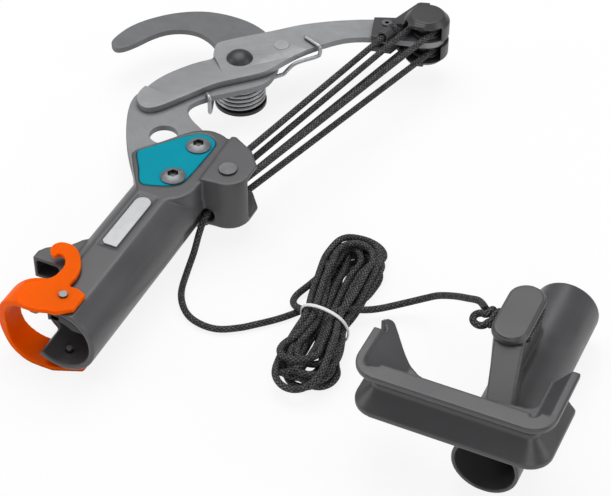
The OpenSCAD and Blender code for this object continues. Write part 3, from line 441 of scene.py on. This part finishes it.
def tubeMesh(name, path, radius):
    p = np.asarray(path, float)
    n, s = len(p), tubeSides
    far = lengthsAlong(p)
    way = np.vstack([p[1:], p[-1:]]) - np.vstack([p[:1], p[:-1]])
    way /= np.linalg.norm(way, axis=1)[:, None]
    side = np.cross(way[0], (0, 0, 1.0) if abs(way[0][2]) < 0.9 else (1.0, 0, 0))
    turn = circle(s)
    rings = np.zeros((n, s, 3))
    for i in range(n):  # the side is carried along, so that the braid doesn't twist
        side = side - way[i] * (side @ way[i])
        side /= np.linalg.norm(side)
        other = np.cross(side, way[i])
        rings[i] = p[i] + radius * (np.cos(turn)[:, None] * side + np.sin(turn)[:, None] * other)
    faces, lays = [], []
    for i in range(n - 1):
        here, there = i * s, (i + 1) * s
        for k in range(s):
            m = (k + 1) % s
            faces.append((here + k, there + k, there + m, here + m))
            u, v = (k / s, (k + 1) / s), (far[i], far[i + 1])
            lays += [(u[0], v[0]), (u[0], v[1]), (u[1], v[1]), (u[1], v[0])]
    faces += [tuple(range(s)), tuple((n - 1) * s + k for k in reversed(range(s)))]
    lays += [(k / s, 0.0) for k in range(s)] + [(k / s, far[-1]) for k in reversed(range(s))]
    mesh = bpy.data.meshes.new(name)
    mesh.from_pydata(rings.reshape(-1, 3).tolist(), [], faces)
    mesh.uv_layers.new(name="braidUV").data.foreach_set("uv", np.array(lays, np.float32).ravel())
    shadeSmooth(mesh)
    mesh.update()
    return mesh


# places of the tackle and the post, in the drawing's mm
bracketAt = np.array((-59.0, 19.0))
bracketZ = (40.4, 31.0, 21.6)
blockAt = np.array((-13.0, 212.0))
blockZ = (39.6, 25.0)
wrapR = 7.5
lineAlong = (blockAt - bracketAt) / np.linalg.norm(blockAt - bracketAt)
lineRight = np.array((lineAlong[1], -lineAlong[0]))
postAt = np.array((139.3, -35.0))
loopZ = 54.8
knotAt = np.array((121.4, -34.0, loopZ))

# the free cord: from the bracket's hole to the hank, round its loops and on to the grip's post
cord = {"thick": 4.0, "step": 2.6, "fineStep": 1.4, "rest": 2.1, "bend": 11.8, "joinAt": (7.5, 4.6),
        "freeLead": 44, "freeTail": 45}
leadRoute = [(*(bracketAt - wrapR * lineRight - 0.3 * lineAlong), bracketZ[2]), (-66.5, 15, 21.6), (-66.5, 3, 21.6),
             (-65.8, -6, 17.5), (-65.2, -15, 9), (-64, -27, 3), (-60, -41, 2.6), (-54, -51, 2.6), (-46, -58, 2.6),
             (-36, -61, 2.6), (-26, -60, 2.6), (-16, -54, 2.6), (-9.2, -47.7, 2.4), (-2.1, -40.7, 2.2),
             (4.8, -33.3, 2.1), (11, -25.6, 2.1), (17.5, -16.5, 2.1), (23.5, -7, 2.2)]
tailRoute = [(41.5, -21, 18), (46, -14, 16), (54, -8.5, 12.5), (62.5, -3.5, 10), (72, 1, 13), (82, -2, 22),
             (94, -9.5, 33), (105, -18, 43), (114, -25.5, 51), tuple(knotAt + (-1, 0.5, 0))]

# its hank: laps that go out or in by rings and then climb a layer, with an upper and a lower lobe each
hank = {
    "at": (28.0, -36.0), "turn": math.radians(11), "seed": 11,
    "first": 0.6, "laps": 11.5, "perLap": 48, "ringLaps": 2.0, "climbLaps": 0.5,
    "low": 3.3, "ring": 4.5, "rise": 4.85, "up": 67.0, "down": 45.0,
    "narrow": 2.6, "swell": 7.4, "swellPower": 1.3, "sidePower": 0.66, "endPower": 0.92,
    "waist": (12.6, 9.4), "waistHalf": 7.0,
    "upperLong": (0.84, 1.0), "lowerLong": (0.76, 1.08), "wide": (0.84, 1.04),
    "upperLift": (-1, 3), "lowerLift": (-1, 6), "endShare": 1.4, "loose": 13, "looseLong": 1.16,
    "lean": (7.0, -2.5), "innerAside": 0.38, "asideLift": 0.6,
    "upperAside": (-3, 5, -8, 8, 2, -5, 6, -9, 3, -7, -1),
    "lowerAside": (-9, 7, 11, -9, -9, 2, 8, -11, 5, 8, -6),
    "stray": 17.0, "strayLaps": (8.62, 9.0), "strayAt": 20, "strayOver": 12,
}


def hankBase(a):
    s, c = np.sin(a), np.cos(a)
    far = np.where(s > 0, hank["up"], hank["down"])
    wide = hank["narrow"] + hank["swell"] * np.abs(s) ** hank["swellPower"]
    x = np.sign(c) * np.abs(c) ** hank["sidePower"] * wide
    return np.stack([x, far * np.sign(s) * np.abs(s) ** hank["endPower"]], axis=-1)


def hankLoops():
    q = np.arange(hank["first"], hank["laps"] + 1e-9, 1 / hank["perLap"])  # laps gone so far
    a = math.pi + 2 * math.pi * q
    small = 0.035  # radians, to take the lap's direction over
    tilt = hankBase(a + small) - hankBase(a - small)
    out = np.stack([tilt[:, 1], -tilt[:, 0]], axis=-1) / np.linalg.norm(tilt, axis=1)[:, None]
    rings, climb = hank["ringLaps"], hank["climbLaps"]
    n = np.floor(q / (rings + climb))  # layers done
    f = q - (rings + climb) * n
    level = n + np.where(f > rings, (1 - np.cos(math.pi * (f - rings) / climb)) / 2, 0)
    ring = np.where(n % 2 == 0, rings - np.minimum(f, rings), np.minimum(f, rings))
    flat = hankBase(a) + hank["ring"] * ring[:, None] * out
    draw = np.random.default_rng(hank["seed"])
    lobe = np.floor(2 * q + 1e-6).astype(int)  # even lobes are the lower ones
    count = lobe.max() + 2
    upper = np.arange(count) % 2 == 1
    longer = np.where(upper, draw.uniform(*hank["upperLong"], count), draw.uniform(*hank["lowerLong"], count))
    wider = draw.uniform(*hank["wide"], count)
    lift = np.where(upper, draw.uniform(*hank["upperLift"], count), draw.uniform(*hank["lowerLift"], count))
    asides = hank["lowerAside"], hank["upperAside"]
    aside = np.array([asides[k % 2][k // 2 % len(asides[0])] for k in range(count)], float)
    longer[hank["loose"]] = hank["looseLong"]
    share = np.abs(np.sin(a)) ** hank["endShare"]  # none at the waist, all at the lobes' ends
    across = aside[lobe] * (1 - hank["innerAside"] * ring)
    lean = np.where(upper, *hank["lean"])[lobe] + across
    flat[:, 1] *= longer[lobe]
    flat[:, 0] = flat[:, 0] * (1 + (wider[lobe] - 1) * share) + lean * share
    strayFrom, strayTo = hank["strayLaps"]
    stray = (q > strayFrom) & (q < strayTo)
    flat[:, 0] -= hank["stray"] * stray * np.exp(-((flat[:, 1] - hank["strayAt"]) / hank["strayOver"]) ** 2)
    z = hank["low"] + hank["rise"] * level + (lift[lobe] + hank["asideLift"] * np.abs(across)) * share
    return np.column_stack([flat, z])


def hankToDrawing(p, back=False):
    c, s = math.cos(hank["turn"]), math.sin(hank["turn"])
    at = np.array(hank["at"])
    if back:
        x, y = p[:, 0] - at[0], p[:, 1] - at[1]
        return np.column_stack([x * c + y * s, -x * s + y * c, p[:, 2]])
    return np.column_stack([p[:, 0] * c - p[:, 1] * s + at[0], p[:, 0] * s + p[:, 1] * c + at[1], p[:, 2]])


# the laps are then let settle: they push apart, sink, draw in at the waist and keep their length and least bend
settle = {"rounds": 320, "lastRounds": 90, "joinRounds": 5, "joinWidth": 3, "joinSpread": 2, "gap": 0.1,
          "pairsEvery": 5, "pairsWithin": 3, "ownPoints": 5, "middle": 0.44, "tightBy": 0.6, "slack": 5,
          "waistLift": 2.3, "pinch": 0.4, "recall": 0.07, "fall": 0.05, "gain": 1.3, "stiff": 0.16,
          "folds": (1, 2, 4), "foldRounds": 3, "open": 0.15}


def spread(field, width):
    reach = np.arange(-3 * width, 3 * width + 1)
    share = np.exp(-0.5 * (reach / width) ** 2)
    share /= share.sum()
    ends = np.pad(field, ((3 * width, 3 * width), (0, 0)), mode="edge")
    return np.stack([np.convolve(ends[:, k], share, mode="valid") for k in range(3)], axis=1)


def openFolds(p, hold, length):
    for k in settle["folds"]:
        least = 2 * cord["bend"] * math.sin(k * length / cord["bend"])  # the chord of the tightest bend allowed
        d = p[2 * k:] - p[:-2 * k]
        far = np.linalg.norm(d, axis=1)[:, None]
        push = settle["open"] * np.maximum(least - far, 0) / np.maximum(far, 0.5) * d
        p[2 * k:] += hold[2 * k:] * push
        p[:-2 * k] -= hold[:-2 * k] * push


def keepLength(p, hold, length):
    for first in (0, 1, 0, 1):
        a, b = p[first:-1:2], p[first + 1::2]
        m = min(len(a), len(b))
        a, b = a[:m], b[:m]
        d = b - a
        far = np.linalg.norm(d, axis=1)[:, None]
        fix = 0.5 * (far - length) / np.maximum(far, 1e-6) * d
        a += fix * hold[first:-1:2][:m]
        b -= fix * hold[first + 1::2][:m]


def settled(path, free):
    p = path.copy()
    n = len(p)
    gap = cord["thick"] + settle["gap"]
    length = np.linalg.norm(np.diff(p, axis=0), axis=1).mean()
    inside = spread(np.repeat(free[:, None].astype(float), 3, axis=1), settle["joinWidth"])
    hold = np.clip(inside, 0, 1) * free[:, None]
    middle = np.abs(np.arange(n) - n / 2) < settle["middle"] * n

    def onFloor():
        p[:, 2] = np.where(free, np.maximum(p[:, 2], cord["rest"]), path[:, 2])

    for turn in range(settle["rounds"]):
        tight = min(1.0, turn / (settle["tightBy"] * settle["rounds"]))
        if turn % settle["pairsEvery"] == 0:
            apart = ((p[:, None, :] - p[None, :, :]) ** 2).sum(2)
            i, j = np.nonzero(np.triu(apart < (gap + settle["pairsWithin"]) ** 2, settle["ownPoints"]))
        # cords that touch push each other apart
        d = p[j] - p[i]
        far = np.linalg.norm(d, axis=1)
        push = 0.5 * np.maximum(gap - far, 0)[:, None] * d / np.maximum(far, 1e-6)[:, None]
        field = np.zeros_like(p)
        np.add.at(field, i, -push)
        np.add.at(field, j, push)
        # the waist draws in to its ellipse as the rounds go on
        near = (np.abs(p[:, 1]) < hank["waistHalf"]) & middle
        wide, high = (half + settle["slack"] * (1 - tight) - cord["thick"] / 2 for half in hank["waist"])
        offset = np.column_stack([p[:, 0], np.zeros(n), p[:, 2] - high - settle["waistLift"]])
        reach = np.sqrt((offset[:, 0] / wide) ** 2 + (offset[:, 2] / high) ** 2)
        pinch = np.where(near & (reach > 1), settle["pinch"] * (1 - 1 / np.maximum(reach, 1)), 0)
        field -= pinch[:, None] * offset
        # every point is called back to its place and sinks a little
        field[:, :2] += settle["recall"] * (path - p)[:, :2]
        field[:, 2] -= settle["fall"]
        p += hold * spread(field, 1) * settle["gain"]
        # the cord's own stiffness, least bend and length
        bend = np.zeros_like(p)
        bend[2:-2] = (p[:-4] + p[4:]) / 2 - p[2:-2]
        p += settle["stiff"] * hold * bend
        for again in range(settle["foldRounds"]):
            openFolds(p, hold, length)
        keepLength(p, hold, length)
        onFloor()
        p[~free] = path[~free]
    for again in range(settle["lastRounds"]):
        openFolds(p, hold, length)
        keepLength(p, hold, length)
        onFloor()
    for again in range(settle["joinRounds"]):
        p += 4 * inside * (1 - inside) * (spread(p, settle["joinSpread"]) - p)
    return p + hold * (spread(p, 1) - p)


def freeCordPath():
    loops = hankToDrawing(hankLoops())
    intoWay, outWay = loops[0] - loops[1], loops[-1] - loops[-2]
    intoWay, outWay = intoWay / np.linalg.norm(intoWay), outWay / np.linalg.norm(outWay)
    join, near = cord["joinAt"]
    lead = curveThrough(leadRoute + [loops[0] + join * intoWay, loops[0] + near * intoWay], 6)
    tail = curveThrough([loops[-1] + near * outWay, loops[-1] + join * outWay] + tailRoute, 6)
    whole = np.concatenate([lead, loops, tail])
    far = lengthsAlong(whole)
    path = evenly(whole, cord["step"])
    at = np.linspace(0, far[-1], len(path))
    freeFrom, freeTo = far[len(lead) - 1] - cord["freeLead"], far[len(lead) + len(loops)] + cord["freeTail"]
    free = (at > freeFrom) & (at < freeTo)
    path = hankToDrawing(settled(hankToDrawing(path, back=True), free))
    return evenly(curveThrough(path, 4), cord["fineStep"])


def cordMesh(name, path):
    return tubeMesh(name, path, cord["thick"] / 2000)


cordPath = packed(freeCordPath())
pullCord = addPiece("pullCord", cordMesh("pullCord", cordPath), "cord_black", "head",
                    "cord_lead", "cord_hank", "cord_tail")


# the white band round the hank's waist, drawn tight over the cords that pass there
tie = {"width": 2.4, "thick": 1.2, "tilt": -0.37, "gap": 0.15, "lowest": 0.15, "within": (18, 2.2), "steps": 120,
       "evenRounds": 70, "cornerPower": 0.6}


def tieMesh():
    local = hankToDrawing(cordPath * 1000 - home, back=True)
    halfWide, halfLong = tie["within"]
    near = local[(np.abs(local[:, 1]) < halfLong) & (np.abs(local[:, 0]) < halfWide)]
    spin = circle(16)
    rim = (cord["thick"] / 2 + tie["gap"]) * np.stack([np.cos(spin), np.sin(spin)], 1)
    grown = (near[:, None, [0, 2]] + rim).reshape(-1, 2)
    n = tie["steps"]
    turn = circle(n)
    reach = (grown @ np.stack([np.cos(turn), np.sin(turn)])).max(0)
    even = reach
    for again in range(tie["evenRounds"]):
        even = (np.roll(even, 1) + 2 * even + np.roll(even, -1)) / 4
    even = even + np.maximum(reach - even, 0).max()
    slope = (np.roll(even, -1) - np.roll(even, 1)) / (turn[2] - turn[0])
    x, z = even * np.cos(turn) - slope * np.sin(turn), even * np.sin(turn) + slope * np.cos(turn)
    ring = np.column_stack([x, np.zeros(n), z])
    way = np.roll(ring, -1, 0) - np.roll(ring, 1, 0)
    out = np.column_stack([way[:, 2], np.zeros(n), -way[:, 0]])
    out /= np.linalg.norm(out, axis=1)[:, None]
    w, t = tie["width"] / 2, tie["thick"] / 2
    section = []
    for c in circle(tubeSides):
        rounded = np.sign(math.cos(c)) * abs(math.cos(c)) ** tie["cornerPower"]
        section.append((rounded * t + t, math.sin(c) * w))
    rows = np.array([[r + o * s for s, y in section] for r, o in zip(ring, out)])
    rows[:, :, 1] += np.array([y for s, y in section]) + tie["tilt"] * ring[:, None, 0]
    rows[:, :, 2] = np.maximum(rows[:, :, 2], tie["lowest"])
    m = len(section)
    faces = []
    for i in range(n):
        here, there = i * m, (i + 1) % n * m
        for k in range(m):
            other = (k + 1) % m
            faces.append((here + k, here + other, there + other, there + k))
    mesh = bpy.data.meshes.new("hankBand")
    mesh.from_pydata(packed(hankToDrawing(rows.reshape(-1, 3))).tolist(), [], faces)
    shadeSmooth(mesh)
    return mesh


hankBand = addPiece("hankBand", tieMesh(), "tie_white", "head", "hank_tie")


# the cord's end: a loop round the post under the cap, and a knot of two wraps with an eye
postRing = {"post": 6.5, "gap": 0.35, "back": 10.5, "ahead": -11.3}
endKnot = {"at": (2.0, -3.2, -1.0), "wraps": 2.25, "long": 8.4, "round": (5.2, 2.6), "eye": 3.8, "eyeAt": (-3.2, -4.0),
           "eyeTurn": (62, 325), "eyeLift": (0.35, -0.3),
           "inside": [(1.5, -3.2, -0.8), (4.5, -1.5, 0.0), (8.0, 0.0, 0.0)]}


def postLoop():
    r = postRing["post"] + cord["thick"] / 2 + postRing["gap"]
    turn = np.linspace(-math.pi / 2, math.pi / 2, 18)
    back = np.column_stack([r * np.sin(turn), postRing["back"] + r * np.cos(turn)])
    ring = np.vstack([[(-r, 0.0)], back, [(r, postRing["ahead"])]])
    return np.column_stack([ring + postAt, np.full(len(ring), loopZ)])


def eyeKnot():
    a = np.linspace(0, 2 * math.pi * endKnot["wraps"], 24)
    across, up = endKnot["round"]
    wraps = np.column_stack([np.linspace(endKnot["long"], 0.0, 24), across * np.cos(a), up * np.sin(a)])
    b = np.radians(np.linspace(*endKnot["eyeTurn"], 12))
    loop = np.column_stack([np.cos(b), np.sin(b), np.linspace(*endKnot["eyeLift"], 12)]) * endKnot["eye"]
    loop += (*endKnot["eyeAt"], 0.0)
    path = curveThrough(np.vstack([wraps, loop, endKnot["inside"]]), 5)
    return evenly(path, 0.8) + knotAt + endKnot["at"]


addPiece("postLoop", cordMesh("postLoop", packed(evenly(postLoop(), 1.5))), "cord_black", "head", "cord_knot")
endKnotPiece = addPiece("endKnot", cordMesh("endKnot", packed(eyeKnot())), "cord_black", "head", "cord_knot")
print("band and knot made")


# the tackle's strands; each run has its body, its way and the share of its length that is left when pulled
anchor = {"back": 31, "aside": 6.8, "z": 40.0}
nearLeft, nearRight = bracketAt - wrapR * lineRight, bracketAt + wrapR * lineRight
farLeft, farRight = blockAt - wrapR * lineRight, blockAt + wrapR * lineRight
anchorAt = blockAt - anchor["back"] * lineAlong - (wrapR + anchor["aside"]) * lineRight
anchorRun = ("anchor_line", (0.14822, 0.98896, 0.0), 0.57824)
tackleRun = ("tackle_line", (0.23185, 0.97275, 0.0), 0.57952)
strands = {
    "strand_1": (nearLeft, bracketZ[0], anchorAt, anchor["z"], anchorRun),
    "strand_2": (nearRight, bracketZ[0], farRight, blockZ[0], tackleRun),
    "strand_3": (nearLeft, bracketZ[1], farLeft, blockZ[0], tackleRun),
    "strand_4": (nearRight, bracketZ[1], farRight, blockZ[1], tackleRun),
    "strand_5": (nearLeft, bracketZ[2], farLeft, blockZ[1], tackleRun),
}
for node, (near, nearZ, far, farZ, (body, axis, keep)) in strands.items():
    path = packed(evenly([(*near, nearZ), (*far, farZ)], 2.0))
    name = node.replace("strand_", "tackleStrand")
    piece = addPiece(name, cordMesh(name, path), "cord_black", body, node)
    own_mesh(piece)

# the cord's turns round the sheaves: place, height, first angle and how far it goes on past half a turn
lineTurn = math.atan2(lineAlong[1], lineAlong[0])
turns = {
    "bracket_turn_top": (bracketAt, bracketZ[0], lineTurn + math.pi / 2, 0.0),
    "bracket_turn_mid": (bracketAt, bracketZ[1], lineTurn + math.pi / 2, 0.0),
    "block_turn_top": (blockAt, blockZ[0], lineTurn - math.pi / 2, 0.5),
    "block_turn_low": (blockAt, blockZ[1], lineTurn - math.pi / 2, 0.5),
}
for node, (at, z, first, more) in turns.items():
    a = np.linspace(first - more, first + math.pi + more, 40)
    path = packed(np.column_stack([at[0] + wrapR * np.cos(a), at[1] + wrapR * np.sin(a), np.full(40, z)]))
    name = node.split("_")[0] + "Turn" + node.split("_")[2].title()
    addPiece(name, cordMesh(name, path), "cord_black", bodyOf(node), node)

# the knot at the cord's dead end
stopper = {"radius": 1.9, "at": 12.6, "turns": 1.9, "long": 3.2, "round": 2.3}


def stopperKnot():
    centre = np.array((*(anchorAt + stopper["at"] * lineAlong), anchor["z"]))
    way, side = np.array((*lineAlong, 0)), np.array((*lineRight, 0))
    t = np.linspace(0, 1, 60)
    a = 2 * math.pi * stopper["turns"] * t
    wound = np.outer(np.cos(a), side) + np.outer(np.sin(a), (0, 0, 1.0))
    bend = centre + np.outer(stopper["long"] * (0.5 - t), way) + stopper["round"] * wound
    straight = np.array([(*(anchorAt + along * lineAlong), anchor["z"]) for along in (0, 5, 10)])
    return evenly(curveThrough(np.vstack([straight, bend[::3]]), 4), 0.8)


stopperMesh = tubeMesh("anchorStopper", packed(stopperKnot()), stopper["radius"] / 1000)
addPiece("anchorStopper", stopperMesh, "cord_black", "lever", "anchor_knot")
print("tackle strung")


# the return spring: five curls on the plate with a fixed leg, and the arm that goes with the lever
spring = {"pivot": (-110.0, 136.0), "mean": 15.0, "wireRadius": 1.3, "low": 4.3, "rise": 3.15, "turns": 5,
          "armRise": 3.1, "armRun": 28.6, "armDown": (23.5, 32)}
pivotAt = np.array(spring["pivot"])
legAt = np.array((-110.2, 94.2))
armAt = np.array((-68.2, 166.8))
legZ = spring["low"] + spring["turns"] * spring["rise"]
armZ = legZ + spring["armRise"]
armRun = spring["armRun"]
legBends = [((-2.2, 6.0), legZ + 0.1), ((0, 0), legZ + 0.3), ((0.2, -0.6), legZ + 3), ((0.2, -0.6), 29.0),
            ((-0.3, 0.6), 31.5), ((-3.5, 3.5), 31.3)]
armBends = [((-1.2, -1.4), armRun), ((0, 0), armRun + 2), ((0.2, 0.2), 33.3), ((-1, 0.6), 35.8), ((-13, 6), 35.6)]


def onCoil(a, z):
    return np.column_stack([pivotAt[0] + spring["mean"] * np.cos(a), pivotAt[1] + spring["mean"] * np.sin(a), z])


def leavesCoil(at):  # the angle at which a straight run to this place leaves the coil
    x, y = at - pivotAt
    return math.atan2(y, x) - math.acos(spring["mean"] / np.linalg.norm(at - pivotAt))


def hungOn(at, bends):
    return [(*(at + shift), z) for shift, z in bends]


def wireMesh(name, coil, bends):
    path = np.vstack([coil, curveThrough(bends, 8)])
    return tubeMesh(name, packed(evenly(path, 1.0)), spring["wireRadius"] / 1000)


legTurn = leavesCoil(legAt)
a = np.linspace(legTurn - 2 * math.pi * spring["turns"], legTurn, 260)
coilMesh = wireMesh("springCoil", onCoil(a, np.linspace(spring["low"], legZ, 260)), hungOn(legAt, legBends))
addPiece("springCoil", coilMesh, "spring_steel", "head", "return_spring")
armTurn = leavesCoil(armAt)
a = np.linspace(armTurn - math.pi, armTurn, 40)
armFrom = onCoil(np.array([armTurn]), [0])[0, :2]
armWay = (armAt - armFrom) / np.linalg.norm(armAt - armFrom)
armSteps = [(*(armFrom + along * armWay), z) for along, z in zip(spring["armDown"], (armZ, armRun))]
armMesh = wireMesh("springArm", onCoil(a, np.full(40, armZ)), armSteps + hungOn(armAt, armBends))
addPiece("springArm", armMesh, "spring_steel", "lever", "spring_arm")
print("spring wound")


# mouldings, with the fillets of the real ones: voxel in mm, rounds of smoothing, share of the faces kept
mouldings = {
    "housing": ("housingShell", "housing_grey", 0.6, 10, 0.35),
    "grip_body": ("gripShell", "grip_grey", 0.6, 9, 0.35),
    "latch": ("latchStrap", "latch_orange", 0.42, 14, 0.5),
    "block_cover_top": ("blockCoverTop", "block_grey", 0.4, 8, 0.35),
    "block_cover_low": ("blockCoverLow", "block_grey", 0.4, 8, 0.35),
    "lock_jaw": ("socketJaw", "black_plastic", 0.4, 4, 0.35),
    "grip_cap": ("gripCap", "grip_grey", 0.4, 8, 0.35),
}
for node, (name, slotName, voxel, rounds, keep) in mouldings.items():
    moulded(node, name, slotName, voxel, rounds, keep)
    print("moulded", name)

# plates, pins and screws, with broken edges: width in mm, steps
edges = {
    "cover_plate": ("coverTop", "cover_blue", 0.7, 3),
    "back_plate": ("coverBack", "cover_blue", 0.7, 3),
    "badge": ("badgePlate", "badge_silver", 0.3, 2),
    "hook_blade": ("hookPlate", "plate_steel", 0.45, 2),
    "lever_blade": ("leverBlade", "blade_steel", 0.35, 2),
    "clamp_screw_front": ("clampScrewFront", "screw_steel", 0.35, 2),
    "clamp_screw_rear": ("clampScrewRear", "screw_steel", 0.35, 2),
    "clamp_nut_front": ("clampNutFront", "screw_steel", 0.4, 2),
    "clamp_nut_rear": ("clampNutRear", "screw_steel", 0.4, 2),
    "pivot_bolt": ("pivotBolt", "black_steel", 0.4, 2),
    "pivot_nut": ("pivotNut", "black_steel", 0.4, 2),
    "pivot_bush": ("pivotBush", "pin_steel", 0.2, 2),
    "spring_cup": ("springCup", "black_plastic", 0.6, 3),
    "bracket_pin": ("bracketPin", "pin_steel", 0.4, 2),
    "bracket_sheave_top": ("bracketSheaveTop", "sheave_plastic", 0.3, 2),
    "bracket_sheave_mid": ("bracketSheaveMid", "sheave_plastic", 0.3, 2),
    "bracket_sheave_low": ("bracketSheaveLow", "sheave_plastic", 0.3, 2),
    "block_sheave_top": ("blockSheaveTop", "sheave_plastic", 0.3, 2),
    "block_sheave_low": ("blockSheaveLow", "sheave_plastic", 0.3, 2),
    "latch_pin_top": ("latchPinTop", "screw_steel", 0.35, 2),
    "latch_pin_low": ("latchPinLow", "screw_steel", 0.35, 2),
    "stop_rivet": ("stopRivet", "rivet_steel", 0.3, 2),
    "block_pin": ("blockPin", "pin_steel", 0.35, 2),
    "cover_rivet": ("coverRivet", "pin_steel", 0.25, 2),
    "grip_screw": ("gripScrew", "screw_steel", 0.2, 2),
}
for node, (name, slotName, width, steps) in edges.items():
    edged(node, name, slotName, width, steps)
print("edged pieces:", len(edges))


# floor and world: white to the eye, plain paper and a low fill light to the object
stage = {"half": 6.0, "tone": rgb(236, 236, 236), "white": 0.86, "fill": 0.24}
floor = bpy.data.objects.new("floor", bpy.data.meshes.new("floor"))
h = stage["half"]
floor.data.from_pydata([(-h, -h, 0), (h, -h, 0), (h, h, 0), (-h, h, 0)], [], [(0, 1, 2, 3)])
scene.collection.objects.link(floor)
floorFinish = bpy.data.materials.new("floorPaper")
floorFinish.use_nodes = True
tree = floorFinish.node_tree
tree.nodes.clear()
matte = put(tree, "ShaderNodeBsdfDiffuse", {"Color": stage["tone"]})
glow = put(tree, "ShaderNodeEmission", {"Color": (1, 1, 1, 1), "Strength": 1.0})
ray = put(tree, "ShaderNodeLightPath").outputs
seen = sums(tree, "MAXIMUM", ray["Is Camera Ray"], ray["Is Glossy Ray"])
seen = sums(tree, "MAXIMUM", seen, ray["Is Transmission Ray"])
both = put(tree, "ShaderNodeMixShader", {0: sums(tree, "MULTIPLY", seen, stage["white"])})
tree.links.new(matte.outputs[0], both.inputs[1])
tree.links.new(glow.outputs[0], both.inputs[2])
out = put(tree, "ShaderNodeOutputMaterial")
tree.links.new(both.outputs[0], out.inputs["Surface"])
floor.data.materials.append(floorFinish)

world = bpy.data.worlds.new("studio")
scene.world = world
world.use_nodes = True
tree = world.node_tree
tree.nodes.clear()
ray = put(tree, "ShaderNodeLightPath").outputs
seen = sums(tree, "MAXIMUM", ray["Is Camera Ray"], ray["Is Transmission Ray"])
strength = ranged(tree, seen, (0.0, 1.0), stage["fill"], 1.0)
back = put(tree, "ShaderNodeBackground", {"Color": (1, 1, 1, 1), "Strength": strength})
tree.links.new(back.outputs[0], put(tree, "ShaderNodeOutputWorld").inputs["Surface"])

# lamps: place, aim, size and watts
lamps = {
    "lampOver": ((-0.3, 0.3, 1.25), (0.0, -0.03, 0.0), 1.3, 16.5),
    "lampLeft": ((-1.15, -0.5, 0.6), (-0.05, -0.05, 0.02), 0.7, 3.4),
    "lampRight": ((1.15, 0.2, 0.65), (0.02, -0.03, 0.02), 0.7, 4.2),
    "lampFront": ((0.65, -1.1, 0.5), (0.03, -0.06, 0.02), 0.6, 3.6),
}
for name, (at, aim, size, watts) in lamps.items():
    lamp = bpy.data.objects.new(name, bpy.data.lights.new(name, "AREA"))
    scene.collection.objects.link(lamp)
    lamp.data.shape = "SQUARE"
    lamp.data.size = size
    lamp.data.energy = watts
    lamp.location = at
    lamp.rotation_euler = turnedTo(at, aim)
print("stage lit")
